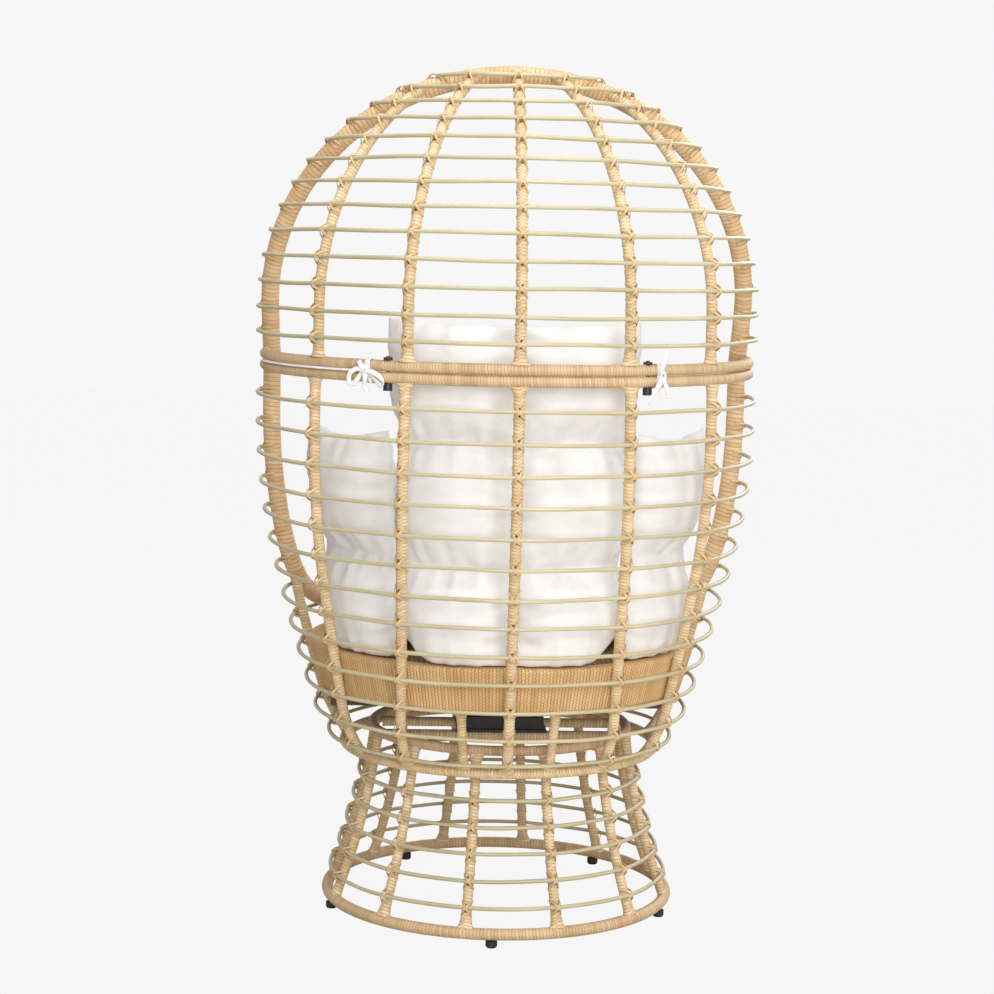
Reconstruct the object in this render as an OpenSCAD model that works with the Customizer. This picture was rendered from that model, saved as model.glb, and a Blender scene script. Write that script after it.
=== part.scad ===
// Round pod chair of wrapped tube and bound cane: a caged pod that turns on a flared base.
// The front of the chair faces -Y, the floor is z = 0 and the middle of its plan is the origin.

/* [Base] */
// Radius of the bottom ring, to the middle of its tube
base_ring_r = 306; // [285:1:330]
// How far the base's top ring stands inside the pod's bottom ring, middle to middle
base_top_inset = 50; // [20:0.5:60]
// Height from the bottom ring to the top ring, middle to middle
base_rise = 299; // [260:1:340]
// How far the base ribs bow in from a straight line
base_waist = 11; // [6:1:18]
// Radius of the bottom ring's wrapped tube
base_foot_tube_r = 10.3; // [9:0.1:12]
// Number of ribs round the base
base_rib_count = 12; // [8:1:14]
// Turn of the base ribs about the axis, in degrees
base_rib_turn = 17.5; // [0:0.5:29]
// Number of canes round the base
base_cane_count = 5; // [3:1:5]
// Distance from one base cane to the next, along the rib
base_cane_pitch = 46; // [38:1:50]
// Distance from the bottom ring to the first base cane, along the rib
base_cane_start = 41; // [30:1:50]
// Number of glides under the base
glide_count = 5; // [3:1:8]
// Radius of a glide
glide_r = 10; // [7:0.5:14]
// Height of a glide below the bottom ring
glide_h = 12; // [8:1:18]

/* [Tube and cane] */
// Radius of a wrapped frame tube
tube_r = 9; // [7.5:0.25:10.5]
// Radius of the thick front rim
rim_r = 16; // [12:0.5:17]
// Radius of a bound cane
cane_r = 3.5; // [2.5:0.25:4.5]
// Radius of a seam ring's wrapped tube
seam_tube_r = 9.25; // [8:0.25:11]

/* [Pod] */
// Turn from one back rib of the bowl to the next, in degrees
rib_step_angle = 25.3; // [22:0.1:27]
// Turn from one rib of the hood to the next, in degrees
hood_rib_step_angle = 24.8; // [22:0.1:27]
// How far the outer back ribs spread on their way down, in degrees
rib_spread_angle = 11.2; // [0:0.2:14]
// Angle of the side ribs from the middle of the back, in degrees
side_rib_angle = 101; // [100:0.5:112]
// Angle of the front ribs from the middle of the back, in degrees
front_rib_angle = 142; // [134:1:150]
// Radius of the ribs where the pod is widest, to the middle of the tube
pod_r = 427.5; // [400:0.5:460]
// Height of the seam above the underside of the deck
seam_over_deck = 574; // [540:1:620]
// Straight run of the hood ribs above the seam
hood_straight = 95; // [60:1:130]
// How far the hood's opening leans back, in degrees
hood_lean_angle = 20.5; // [14:0.5:24]
// Angle of the opening's edge at the seam, from the middle of the back, in degrees
opening_angle = 96.5; // [92:0.5:102]
// Height over the lip at which the bowl's rim turns from the side to the front
rim_turn_h = 111; // [95:1:135]
// How quickly the rim settles to the lip past that turn, in degrees
rim_fall_angle = 13; // [10:0.5:16]
// Straight run of the bowl ribs below the seam
bowl_straight = 90; // [70:1:110]
// Radius of the bowl's upper bend
bowl_upper_bend_r = 1082; // [980:1:1250]
// Turn of the bowl's upper bend, in degrees
bowl_upper_turn = 14.3; // [12:0.1:16]
// Radius of the bowl's middle bend
bowl_middle_bend_r = 4998; // [4200:1:6000]
// Turn of the bowl's middle bend, in degrees
bowl_middle_turn = 2.7; // [2:0.1:3.2]
// Radius of the bowl's lower bend
bowl_lower_bend_r = 293; // [270:1:320]
// Turn of the bowl's lower bend, in degrees
bowl_lower_turn = 21.8; // [20:0.1:23]
// Number of canes on the hood
hood_cane_count = 13; // [9:1:13]
// Distance from the seam to the first hood cane
hood_cane_start = 50; // [35:1:60]
// Distance from the last hood cane to the end of the middle rib
hood_cane_last = 37.8; // [30:0.1:60]
// Number of canes on the bowl
bowl_cane_count = 13; // [9:1:13]
// Distance from the seam to the first bowl cane
bowl_cane_start = 58; // [45:1:65]
// Distance from one bowl cane to the next, along the rib
bowl_cane_pitch = 51.4; // [42:0.2:52]

/* [Deck] */
// Height of the deck's woven band
deck_h = 82; // [72:1:90]
// Thickness of the deck's woven skin
weave_t = 4; // [3:0.5:6]
// Radius of the deck's frame tubes
deck_tube_r = 10; // [8:0.5:12]
// Width of a deck beam
beam_w = 30; // [24:1:36]
// Height of a deck beam
beam_h = 34.5; // [28:0.5:40]

/* [Swivel] */
// Side of the square swivel plates
plate_w = 160; // [140:2:180]
// Thickness of a swivel plate
plate_t = 5; // [4:0.5:8]
// Height of the swivel's lower block
lower_block_h = 21; // [18:1:30]
// Height of the swivel's upper block
upper_block_h = 7.5; // [6.5:0.5:12]
// Distance from the edge of a swivel plate in to the ball track
track_inset = 22; // [22:1:30]
// Radius of a ball
ball_r = 4; // [3:0.25:4.5]
// Number of balls
ball_count = 24; // [12:1:32]
// Radius of the centre pin
pin_r = 10; // [8:0.5:14]
// Radius of a swivel screw's shank
screw_r = 3; // [2.5:0.25:3.5]

/* [Seam bolts] */
// Angle of the seam bolts from the middle of the back, in degrees
bolt_angle = 29.5; // [28:0.5:30]
// Radius of a seam bolt's shank
bolt_r = 3; // [2.5:0.25:4]
// Radius of a seam bolt's flat head
bolt_head_r = 7.5; // [6:0.5:9]
// Height of a seam bolt's flat head
bolt_head_h = 4; // [3:0.5:6]
// Height of the cap nut under the seam
cap_nut_h = 12; // [9:0.5:15]

/* [Cushions] */
// Thickness of the back cushion's puffs
back_puff = 100; // [80:2:120]
// Height of the back cushion over the deck
back_cushion_h = 584; // [530:2:620]
// Height of a side wing over the deck
wing_h = 396; // [340:2:430]
// Thickness of the seat cushion
seat_puff = 104; // [80:2:130]
// Angle of the left ribbon tie from the middle of the back, in degrees
left_tie_angle = 34; // [33:0.5:37]
// Angle of the right ribbon tie from the middle of the back, in degrees
right_tie_angle = 32; // [32:0.5:36]
// Width of a ribbon tie
tie_w = 16; // [10:1:22]

/* [Hidden] */
hood_rib_count = 5;
back_rib_count = 5;
front_rib_count = 3;

// Gap between pieces that are bound to each other
bind = 0.5;
// Clearance of soft pieces from what is round them
soft_gap = 3;
// Gap under a soft piece where it rests
rest_gap = 0.3;
// Play of a screw in its hole
screw_play = 0.3;
// Running gap in the swivel
running_gap = 0.25;
// Overrun of a cut past a face
over = 1;

wrap_colour = "#c9975c";
cane_colour = "#cdb87c";
weave_colour = "#b98f58";
black_colour = "#232324";
steel_colour = "#9a9b9e";
cloth_colour = "#f4f3f6";

// Heights, from the floor up
base_ring_z = glide_h + base_foot_tube_r;
base_top_z = base_ring_z + base_rise;
bar_z = base_top_z - tube_r;
base_plate_z = bar_z + tube_r + bind;
lower_block_z = base_plate_z + plate_t + bind;
lower_block_top = lower_block_z + lower_block_h;
ball_z = lower_block_top + ball_r / 2;
upper_block_z = ball_z + ball_r / 2;
upper_block_top = upper_block_z + upper_block_h;
top_plate_z = upper_block_top + bind;
beam_z = top_plate_z + plate_t + bind;
deck_z = beam_z + beam_h + bind;
deck_top = deck_z + deck_h;
seam_z = deck_z + seam_over_deck;
lip_z = deck_top + rim_r + bind;
dome_z = seam_z + hood_straight;
seam_ring_off = seam_tube_r + bind / 2;
floor_of_soft = deck_top + rest_gap;

// The bowl rib's centreline runs down from the seam as a straight run and three bends.
bowl_bends = [bowl_upper_bend_r, bowl_middle_bend_r, bowl_lower_bend_r];
bowl_turns = [bowl_upper_turn, bowl_middle_turn, bowl_lower_turn];
function turned(i) = i <= 0 ? 0 : turned(i - 1) + bowl_turns[i - 1];
function bend_start(i) = i <= 0 ? [pod_r, seam_z - bowl_straight]
  : bend_centre(i - 1) + bowl_bends[i - 1] * [cos(turned(i)), -sin(turned(i))];
function bend_centre(i) = bend_start(i) + bowl_bends[i] * [-cos(turned(i)), sin(turned(i))];
function bend_length(i) = bowl_bends[i] * bowl_turns[i] * PI / 180;
function bowl_run(i) = i <= 0 ? bowl_straight : bowl_run(i - 1) + bend_length(i - 1);
function bend_at(s) = s < bowl_run(1) ? 0 : s < bowl_run(2) ? 1 : 2;
// Inclination of the rib from the vertical, at distance s below the seam
function bowl_slope(s) = s < bowl_straight ? 0
  : turned(bend_at(s)) + (s - bowl_run(bend_at(s))) / bowl_bends[bend_at(s)] * 180 / PI;
function bowl_point(s, out = 0) = s < bowl_straight ? [pod_r + out, seam_z - s]
  : bend_centre(bend_at(s)) + (bowl_bends[bend_at(s)] + out) * [cos(bowl_slope(s)), -sin(bowl_slope(s))];
// Distance along the rib at which it reaches height z
function bowl_s(z) = let (drop = seam_z - z) drop < bowl_straight ? drop : bowl_s_bend(z, 0);
function bowl_s_bend(z, i) =
  let (a = asin(min((bend_centre(i)[1] - z) / bowl_bends[i], 1)))
  i >= 2 || a <= turned(i + 1) ? bowl_run(i) + (a - turned(i)) * bowl_bends[i] * PI / 180
  : bowl_s_bend(z, i + 1);
function bowl_r(z, out = 0) = z >= seam_z ? pod_r + out
  : bowl_point(bowl_s(z))[0] + out / cos(bowl_slope(bowl_s(z)));
bowl_length = bowl_run(3);
bowl_end = bowl_point(bowl_length);
bottom_ring_r = bowl_end[0];
bottom_ring_z = bowl_end[1];
base_top_r = bottom_ring_r - base_top_inset;

// The hood rib's centreline runs up from the seam as a straight run and a quarter circle.
function hood_turn(s) = max(s - hood_straight, 0) / pod_r * 180 / PI;
function hood_point(s, out = 0) = s < hood_straight ? [pod_r + out, seam_z + s]
  : [0, dome_z] + (pod_r + out) * [cos(hood_turn(s)), sin(hood_turn(s))];

bound_out = tube_r + cane_r + bind;

// The hood's opening is a plane that leans back from the seam.
rim_in = rim_r - tube_r;
opening_y = pod_r * cos(opening_angle);
function opening_at(z) = opening_y + (z - seam_z) * tan(hood_lean_angle);
rim_dome_r = pod_r - rim_in;
plane_off = opening_y * cos(hood_lean_angle) + hood_straight * sin(hood_lean_angle);
arch_r = sqrt(rim_dome_r * rim_dome_r - plane_off * plane_off);
arch_centre = [0, plane_off * cos(hood_lean_angle), dome_z - plane_off * sin(hood_lean_angle)];
arch_end = acos(plane_off * tan(hood_lean_angle) / arch_r);
arch_steps = 26;
side_steps = 3;
function arch_point(a) = arch_centre
  + arch_r * [sin(a), cos(a) * sin(hood_lean_angle), cos(a) * cos(hood_lean_angle)];
function side_point(z) = [sqrt(rim_dome_r * rim_dome_r - opening_at(z) * opening_at(z)), opening_at(z), z];
hood_rim_half = concat(
  [for (i = [0:arch_steps]) arch_point(arch_end * i / arch_steps)],
  [for (i = [1:side_steps]) side_point(dome_z - (hood_straight - bind / 2) * i / side_steps)]);

// The bowl's rim drops steeply from the seam, turns forward and settles to the lip.
turn_power = 4;
function rim_growth(a) = exp(turn_power * (a - opening_angle) / rim_fall_angle);
function rim_fall_z(a) = lip_z + rim_turn_h * pow(rim_growth(a) - 1, -1 / turn_power);
front_reach = bowl_r(rim_fall_z(180), -rim_in) + rim_r;
back_reach = pod_r + bound_out + cane_r;
// The swivel axis stands behind the middle of the chair's plan.
axis_y = (front_reach - back_reach) / 2;
function rim_angle(z) = opening_angle
  + rim_fall_angle / turn_power * ln(1 + pow(rim_turn_h / max(z - lip_z, bind), turn_power));
turn_high_z = lip_z + 1.5 * rim_turn_h;
turn_low_z = lip_z + 0.3 * rim_turn_h;
drop_steps = 6;
turn_steps = 10;
lip_steps = 9;
function rim_at(a, z) = let (r = bowl_r(z, -rim_in)) [r * sin(a), r * cos(a), z];
function between(a, b, share) = a + (b - a) * share;
rim_heights = concat(
  [for (i = [0:drop_steps - 1]) between(seam_z - bind / 2, turn_high_z, i / drop_steps)],
  [for (i = [0:turn_steps]) between(turn_high_z, turn_low_z, i / turn_steps)]);
lip_angles = [for (i = [1:lip_steps]) between(rim_angle(turn_low_z), 180, i / lip_steps)];
bowl_rim_half = backwards(concat(
  [for (z = rim_heights) rim_at(rim_angle(z), z)], [for (a = lip_angles) rim_at(a, rim_fall_z(a))]));

function flip_x(p) = [-p[0], p[1], p[2]];
function backwards(list) = [for (i = [len(list) - 1:-1:0]) list[i]];
function both_sides(half) = concat(backwards([for (i = [1:len(half) - 1]) flip_x(half[i])]), half);
function unit(v) = v / norm(v);

// A round tube along points, with its ends cut level.
module swept_tube(path, r, centre, sides = 10) {
  n = len(path);
  tangents = [for (i = [0:n - 1]) unit(path[min(i + 1, n - 1)] - path[max(i - 1, 0)])];
  outs = [for (i = [0:n - 1]) let (d = path[i] - centre, t = tangents[i]) unit(d - (d * t) * t)];
  rings = [for (i = [0:n - 1]) let (t = tangents[i], e = outs[i], f = cross(t, e))
    for (k = [0:sides - 1]) let (a = 360 * k / sides, d = r * (cos(a) * e + sin(a) * f))
      i == 0 || i == n - 1 ? path[i] + d - t * d[2] / t[2] : path[i] + d];
  walls = [for (i = [0:n - 2]) for (k = [0:sides - 1])
    let (a = i * sides + k, b = i * sides + (k + 1) % sides) each
    [[a, b, b + sides], [a, b + sides, a + sides]]];
  ends = [[for (k = [0:sides - 1]) sides - 1 - k], [for (k = [0:sides - 1]) (n - 1) * sides + k]];
  polyhedron(rings, [for (f = concat(walls, ends)) backwards(f)]);
}

// A ring, or an arc of one, of round tube. The arc is centred on the back, +Y.
module tube_ring(ring_r, r) {
  rotate_extrude($fn = 96) translate([ring_r, 0]) circle(r, $fn = 24);
}
module tube_arc(ring_r, r, half_angle) {
  rotate([0, 0, 90 - half_angle])
    rotate_extrude(angle = 2 * half_angle, $fn = 96) translate([ring_r, 0]) circle(r, $fn = 24);
}
// An arc of tube in the XZ plane, from angle a to angle b about a centre given as [x, z]
module upright_arc(centre, bend_r, a, b, r) {
  translate([centre[0], 0, centre[1]]) rotate([90, 0, 0]) rotate([0, 0, a])
    rotate_extrude(angle = b - a, $fn = 240) translate([bend_r, 0]) circle(r, $fn = 24);
}
module straight_tube(x, z_low, z_high, r) {
  translate([x, 0, z_low]) cylinder(r = r, h = z_high - z_low, $fn = 24);
}
// Turns a piece drawn in the +X half plane to an angle from the middle of the back
module stand() {
  translate([0, axis_y, 0]) children();
}
module at_back_angle(a) {
  rotate([0, 0, 90 - a]) children();
}
module around(count, first = 0) {
  for (i = [0:count - 1]) rotate([0, 0, first + 360 * i / count]) children();
}

// Base: the ribs bow in along one bend.
base_chord = norm([base_ring_r - base_top_r, base_rise]);
base_bend_r = base_chord * base_chord / (8 * base_waist) + base_waist / 2;
base_lean = atan((base_ring_r - base_top_r) / base_rise);
base_half_turn = asin(base_chord / 2 / base_bend_r);
base_middle = [(base_ring_r + base_top_r) / 2, base_ring_z + base_rise / 2];
base_bend_centre = base_middle + (base_bend_r - base_waist) * [cos(base_lean), sin(base_lean)];
function base_angle(s) = 180 + base_lean + base_half_turn - s / base_bend_r * 180 / PI;
function base_point(s, out) =
  base_bend_centre + (base_bend_r - out) * [cos(base_angle(s)), sin(base_angle(s))];
base_rib_length = 2 * base_half_turn * base_bend_r * PI / 180;
glide_turn = 86;

module base_bottom_ring() {
  color(wrap_colour) stand() translate([0, 0, base_ring_z]) tube_ring(base_ring_r, base_foot_tube_r);
}
module base_top_ring() {
  color(wrap_colour) stand() translate([0, 0, base_top_z]) tube_ring(base_top_r, tube_r);
}
module base_ribs() {
  low = base_angle(base_foot_tube_r + bind);
  high = base_angle(base_rib_length - tube_r - bind);
  color(wrap_colour) stand() around(base_rib_count, base_rib_turn)
    upright_arc(base_bend_centre, base_bend_r, high, low, tube_r - bind);
}
module base_canes() {
  color(cane_colour) stand() for (i = [0:base_cane_count - 1]) {
    p = base_point(base_cane_start + i * base_cane_pitch, tube_r + cane_r);
    translate([0, 0, p[1]]) tube_ring(p[0], cane_r);
  }
}
bar_y = plate_w / 2 - 25 * plate_w / 160;
bar_end_share = 0.75;
bar_reach = sqrt(pow(base_top_r - tube_r, 2) - pow(bar_y + tube_r * bar_end_share, 2));
module base_cross_bars() {
  color(wrap_colour) stand() for (side = [-1, 1]) difference() {
    translate([0, side * bar_y, bar_z]) rotate([0, 90, 0])
      cylinder(r = tube_r, h = 2 * bar_reach, center = true, $fn = 32);
    for (x = [-1, 1]) translate([x * bar_y, side * bar_y, bar_z])
      cylinder(r = screw_r + screw_play, h = 3 * tube_r, center = true, $fn = 24);
  }
}
module foot_glides() {
  color(black_colour) stand() around(glide_count, glide_turn) translate([base_ring_r, 0, 0]) {
    cylinder(r1 = glide_r - glide_h / 6, r2 = glide_r, h = glide_h / 4, $fn = 32);
    translate([0, 0, glide_h / 4]) cylinder(r = glide_r, h = glide_h * 3 / 4 - bind, $fn = 32);
  }
}

// Swivel: two blocks with a ball track between them, on a centre pin.
track_r = plate_w / 2 - track_inset;
housing_r = track_r + 3 * ball_r;
block_w = plate_w - 2 * plate_t;
screw_head_r = 2 * screw_r;
screw_head_h = 1.2 * screw_r;
module screw_places() {
  for (x = [-1, 1]) for (y = [-1, 1]) translate([x * bar_y, y * bar_y, 0]) children();
}
module swivel_base_plate() {
  color(black_colour) stand() translate([0, 0, base_plate_z]) difference() {
    translate([-plate_w / 2, -plate_w / 2, 0]) cube([plate_w, plate_w, plate_t]);
    screw_places() translate([0, 0, -over])
      cylinder(r = screw_r + screw_play, h = plate_t + 2 * over, $fn = 24);
    translate([0, 0, -over]) cylinder(r = pin_r + running_gap, h = plate_t + 2 * over, $fn = 48);
  }
}
module swivel_lower_block() {
  color(black_colour) stand() translate([0, 0, lower_block_z]) difference() {
    translate([-block_w / 2, -block_w / 2, 0]) cube([block_w, block_w, lower_block_h]);
    screw_places() translate([0, 0, -over])
      cylinder(r = screw_head_r + screw_play, h = lower_block_h + 2 * over, $fn = 24);
    translate([0, 0, -over]) cylinder(r = pin_r + running_gap, h = lower_block_h + 2 * over, $fn = 48);
    translate([0, 0, ball_z - lower_block_z]) tube_ring(track_r, ball_r + running_gap);
  }
}
module swivel_upper_block() {
  color(black_colour) stand() translate([0, 0, upper_block_z]) difference() {
    cylinder(r = housing_r, h = upper_block_h, $fn = 96);
    translate([0, 0, -over]) cylinder(r = pin_r + running_gap, h = upper_block_h + 2 * over, $fn = 48);
    translate([0, 0, ball_z - upper_block_z]) tube_ring(track_r, ball_r + running_gap);
  }
}
module swivel_balls() {
  color(steel_colour) stand() around(ball_count) translate([track_r, 0, ball_z]) sphere(ball_r, $fn = 32);
}
cage_h = upper_block_z - lower_block_top - 4 * running_gap;
module swivel_ball_cage() {
  color(steel_colour) stand() translate([0, 0, lower_block_top + 2 * running_gap]) difference() {
    cylinder(r = track_r + 2 * ball_r, h = cage_h, $fn = 96);
    translate([0, 0, -over]) cylinder(r = track_r - 2 * ball_r, h = cage_h + 2 * over, $fn = 96);
    around(ball_count) translate([track_r, 0, -over])
      cylinder(r = ball_r + running_gap, h = cage_h + 2 * over, $fn = 32);
  }
}
pin_head_h = plate_t;
pin_low = base_plate_z - pin_head_h - bind;
pin_nut_h = pin_r;
pin_nut_z = top_plate_z + plate_t + bind;
module swivel_pin() {
  color(steel_colour) stand() translate([0, 0, pin_low]) {
    cylinder(r = 1.6 * pin_r, h = pin_head_h, $fn = 48);
    cylinder(r = pin_r, h = pin_nut_z + pin_nut_h + over - pin_low, $fn = 48);
  }
}
module swivel_pin_nut() {
  color(steel_colour) stand() translate([0, 0, pin_nut_z]) difference() {
    cylinder(r = 1.7 * pin_r, h = pin_nut_h, $fn = 6);
    translate([0, 0, -over]) cylinder(r = pin_r + running_gap, h = pin_nut_h + 2 * over, $fn = 48);
  }
}
module swivel_top_plate() {
  color(black_colour) stand() translate([0, 0, top_plate_z]) difference() {
    translate([-plate_w / 2, -plate_w / 2, 0]) cube([plate_w, plate_w, plate_t]);
    screw_places() translate([0, 0, -over])
      cylinder(r = screw_r + screw_play, h = plate_t + 2 * over, $fn = 24);
    translate([0, 0, -over]) cylinder(r = pin_r + running_gap, h = plate_t + 2 * over, $fn = 48);
  }
}
module swivel_base_screws() {
  color(steel_colour) stand() screw_places() {
    translate([0, 0, base_plate_z + plate_t + bind / 2]) cylinder(r = screw_head_r, h = screw_head_h, $fn = 32);
    translate([0, 0, bar_z - tube_r - screw_head_h])
      cylinder(r = screw_r, h = base_plate_z + plate_t + over - bar_z + tube_r + screw_head_h, $fn = 24);
  }
}
module swivel_top_screws() {
  color(steel_colour) stand() screw_places() {
    translate([0, 0, top_plate_z - bind / 2 - screw_head_h])
      cylinder(r = screw_head_r, h = screw_head_h, $fn = 32);
    translate([0, 0, top_plate_z - over]) cylinder(r = screw_r, h = over + plate_t + beam_h / 2, $fn = 24);
  }
}

// Deck: two rings and cross beams inside a woven skin that follows the ribs.
deck_low_r = bowl_r(deck_z, -tube_r - bind) ;
deck_high_r = bowl_r(deck_top, -tube_r - bind);
function deck_skin_r(z) = deck_low_r + (deck_high_r - deck_low_r) * (z - deck_z) / deck_h - weave_t;
deck_low_ring_z = deck_z + deck_tube_r;
deck_ring_r = deck_skin_r(deck_low_ring_z) - deck_tube_r - 2 * bind;
// The beams stop inside the ribs.
beam_reach = sqrt(pow(bowl_r(beam_z, -tube_r - bind), 2) - pow(bar_y + beam_w / 2, 2));
slat_count = 3;
module deck_beams() {
  color("#7d4a38") stand() for (side = [-1, 1]) difference() {
    translate([-beam_reach, side * bar_y - beam_w / 2, beam_z]) cube([2 * beam_reach, beam_w, beam_h]);
    for (x = [-1, 1]) translate([x * bar_y, side * bar_y, beam_z - over])
      cylinder(r = screw_r + screw_play, h = over + beam_h * 2 / 3, $fn = 24);
  }
}
module deck_frame() {
  color(wrap_colour) stand() {
    translate([0, 0, deck_low_ring_z]) tube_ring(deck_ring_r, deck_tube_r);
    intersection() {
      for (i = [0:slat_count - 1])
        translate([-deck_ring_r, (i - (slat_count - 1) / 2) * deck_ring_r / slat_count * 1.5 - deck_tube_r,
          deck_low_ring_z])
          cube([2 * deck_ring_r, 2 * deck_tube_r, deck_top - weave_t - bind - deck_low_ring_z]);
      cylinder(r = deck_ring_r, h = 2 * seam_z, $fn = 96);
    }
  }
}
module deck_weave() {
  color(weave_colour) stand() rotate_extrude($fn = 120) polygon([
    [deck_low_r - weave_t, deck_z], [deck_low_r, deck_z], [deck_high_r, deck_top], [0, deck_top],
    [0, deck_top - weave_t], [deck_high_r - weave_t, deck_top - weave_t]]);
}
module pod_bottom_ring() {
  color(wrap_colour) stand() translate([0, 0, bottom_ring_z]) tube_ring(bottom_ring_r, tube_r);
}
strut_angle = 15.1;
strut_r = tube_r - over;
strut_top = [deck_low_r - 2 * tube_r, deck_z - bind];
strut_foot = [bottom_ring_r, bottom_ring_z + tube_r + bind];
strut_lean = atan((strut_top[0] - strut_foot[0]) / (strut_top[1] - strut_foot[1]));
module skirt_struts() {
  color(wrap_colour) stand() for (a = [-strut_angle, strut_angle, 180 - strut_angle, 180 + strut_angle])
    at_back_angle(a) intersection() {
      translate([strut_foot[0], 0, strut_foot[1]]) rotate([0, strut_lean, 0])
        cylinder(r = strut_r, h = 3 * norm(strut_top - strut_foot), center = true, $fn = 24);
      translate([0, -2 * tube_r, strut_foot[1]])
        cube([2 * pod_r, 4 * tube_r, strut_top[1] - strut_foot[1]]);
    }
}

// Ribs
module hood_rib(i) {
  a = (i - (hood_rib_count + 1) / 2) * hood_rib_step_angle;
  // The rib stops where it meets the leaning arch.
  reach = hood_rib_turn(a, 0);
  color(wrap_colour) stand() at_back_angle(a) {
    straight_tube(pod_r, seam_z + 2 * seam_ring_off + bind / 2, dome_z, tube_r);
    upright_arc([0, dome_z], pod_r, 0, reach, tube_r);
  }
}
// Turn of the dome at which a rib at back angle a reaches the arch, less the room for the rim
function hood_gap(a, t) = pod_r * cos(t) * cos(a) - opening_at(dome_z + pod_r * sin(t));
rim_clear = rim_r + bind;
function hood_rib_turn(a, t) =
  hood_gap(a, t) * cos(hood_lean_angle) < rim_clear + tube_r * abs(sin(a)) || t > 88
  ? t : hood_rib_turn(a, t + 0.25);

rib_low_z = bottom_ring_z + tube_r + bind;
rib_high_z = seam_z - 2 * seam_ring_off - bind / 2;
rib_steps = 18;
rib_sides = 12;
spread_power = 2.4;
// Back angle of a rib at height z, for a rib that leaves the seam at angle a
function spread_angle(a, z) = a
  + sign(a) * rib_spread_angle * pow((seam_z - z) / (seam_z - bottom_ring_z), spread_power);
function rib_point(a, z) = [bowl_r(z) * sin(a), bowl_r(z) * cos(a), z];
module bowl_rib(i) {
  a = (i - (back_rib_count + 1) / 2) * rib_step_angle;
  color(wrap_colour) stand() swept_tube([for (k = [0:rib_steps])
    let (z = rib_high_z + (rib_low_z - rib_high_z) * k / rib_steps) rib_point(spread_angle(a, z), z)],
    tube_r, [0, 0, rib_high_z], rib_sides);
}
// Ribs under the front rim start just below it.
rim_slope_share = 0.9;
function rim_drop(a) = (rim_fall_z(a) - lip_z) * rim_growth(a) / (rim_growth(a) - 1)
  / rim_fall_angle * 180 / PI / bowl_r(rim_fall_z(a));
function under_rim_z(a) = rim_fall_z(a) - (rim_r + bind) * sqrt(1 + pow(rim_drop(a), 2))
  - tube_r * rim_drop(a) * rim_slope_share;
module under_rim_rib(a, steps) {
  top = under_rim_z(min(abs(a), 360 - abs(a)));
  color(wrap_colour) stand() swept_tube([for (k = [0:steps])
    let (z = top + (rib_low_z - top) * k / steps) rib_point(a, z)],
    tube_r, [0, 0, rib_high_z], rib_sides);
}
module side_rib_left() { under_rim_rib(side_rib_angle, 12); }
module side_rib_right() { under_rim_rib(-side_rib_angle, 12); }
module front_rib(i) {
  under_rim_rib(180 + (i - (front_rib_count + 1) / 2) * (180 - front_rib_angle), 6);
}

// Canes
cane_tail = rim_r * 0.6;
hood_rib_reach = hood_straight + pod_r * hood_rib_turn(0, 0) * PI / 180;
hood_cane_pitch = (hood_rib_reach - hood_cane_start - hood_cane_last) / (hood_cane_count - 1);
module hood_canes() {
  color(cane_colour) stand() for (i = [0:hood_cane_count - 1]) {
    p = hood_point(hood_cane_start + i * hood_cane_pitch, bound_out);
    half = acos(min(opening_at(p[1]) / p[0], 1)) + cane_tail / p[0] * 180 / PI;
    translate([0, 0, p[1]]) tube_arc(p[0], cane_r, half);
  }
}
module bowl_canes() {
  color(cane_colour) stand() for (i = [0:bowl_cane_count - 1]) {
    p = bowl_point(bowl_cane_start + i * bowl_cane_pitch, bound_out);
    half = rim_angle(p[1]) + cane_tail / p[0] * 180 / PI;
    translate([0, 0, p[1]])
      if (p[1] <= lip_z + cane_r || half > 175) tube_ring(p[0], cane_r);
      else tube_arc(p[0], cane_r, half);
  }
}

// Rims and seam rings
module hood_rim() {
  color(wrap_colour) stand() swept_tube(both_sides(hood_rim_half), rim_r, [0, 0, dome_z]);
}
module bowl_rim() {
  color(wrap_colour) stand() swept_tube(both_sides(bowl_rim_half), rim_r, [0, 0, lip_z]);
}
seam_ring_half = opening_angle - (rim_r + over) / pod_r * 180 / PI;
bolt_angles = [-bolt_angle, bolt_angle];
bolt_head_z = seam_z + seam_ring_off + seam_tube_r + bind / 2;
cap_nut_z = seam_z - seam_ring_off - seam_tube_r - bind / 2 - cap_nut_h;
// The upper ring ends behind the leaning rim, the lower one beside the falling rim.
hood_ring_end = opening_at(seam_z + seam_ring_off + seam_tube_r) + (rim_r + bind) / cos(hood_lean_angle);
hood_ring_half = acos(hood_ring_end / pod_r);
module seam_ring(z, half) {
  color(wrap_colour) stand() difference() {
    translate([0, 0, z]) tube_arc(pod_r, seam_tube_r, half);
    for (a = bolt_angles) at_back_angle(a)
      translate([pod_r, 0, z]) cylinder(r = bolt_r + screw_play, h = 3 * seam_tube_r, center = true, $fn = 24);
  }
}
module hood_seam_ring() { seam_ring(seam_z + seam_ring_off, hood_ring_half); }
module bowl_seam_ring() { seam_ring(seam_z - seam_ring_off, seam_ring_half); }
module seam_bolts() {
  color(black_colour) stand() for (a = bolt_angles) at_back_angle(a) translate([pod_r, 0, 0]) {
    translate([0, 0, bolt_head_z]) cylinder(r = bolt_head_r, h = bolt_head_h, $fn = 32);
    translate([0, 0, cap_nut_z + cap_nut_h / 2]) cylinder(r = bolt_r, h = bolt_head_z - cap_nut_z, $fn = 24);
  }
}
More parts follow.
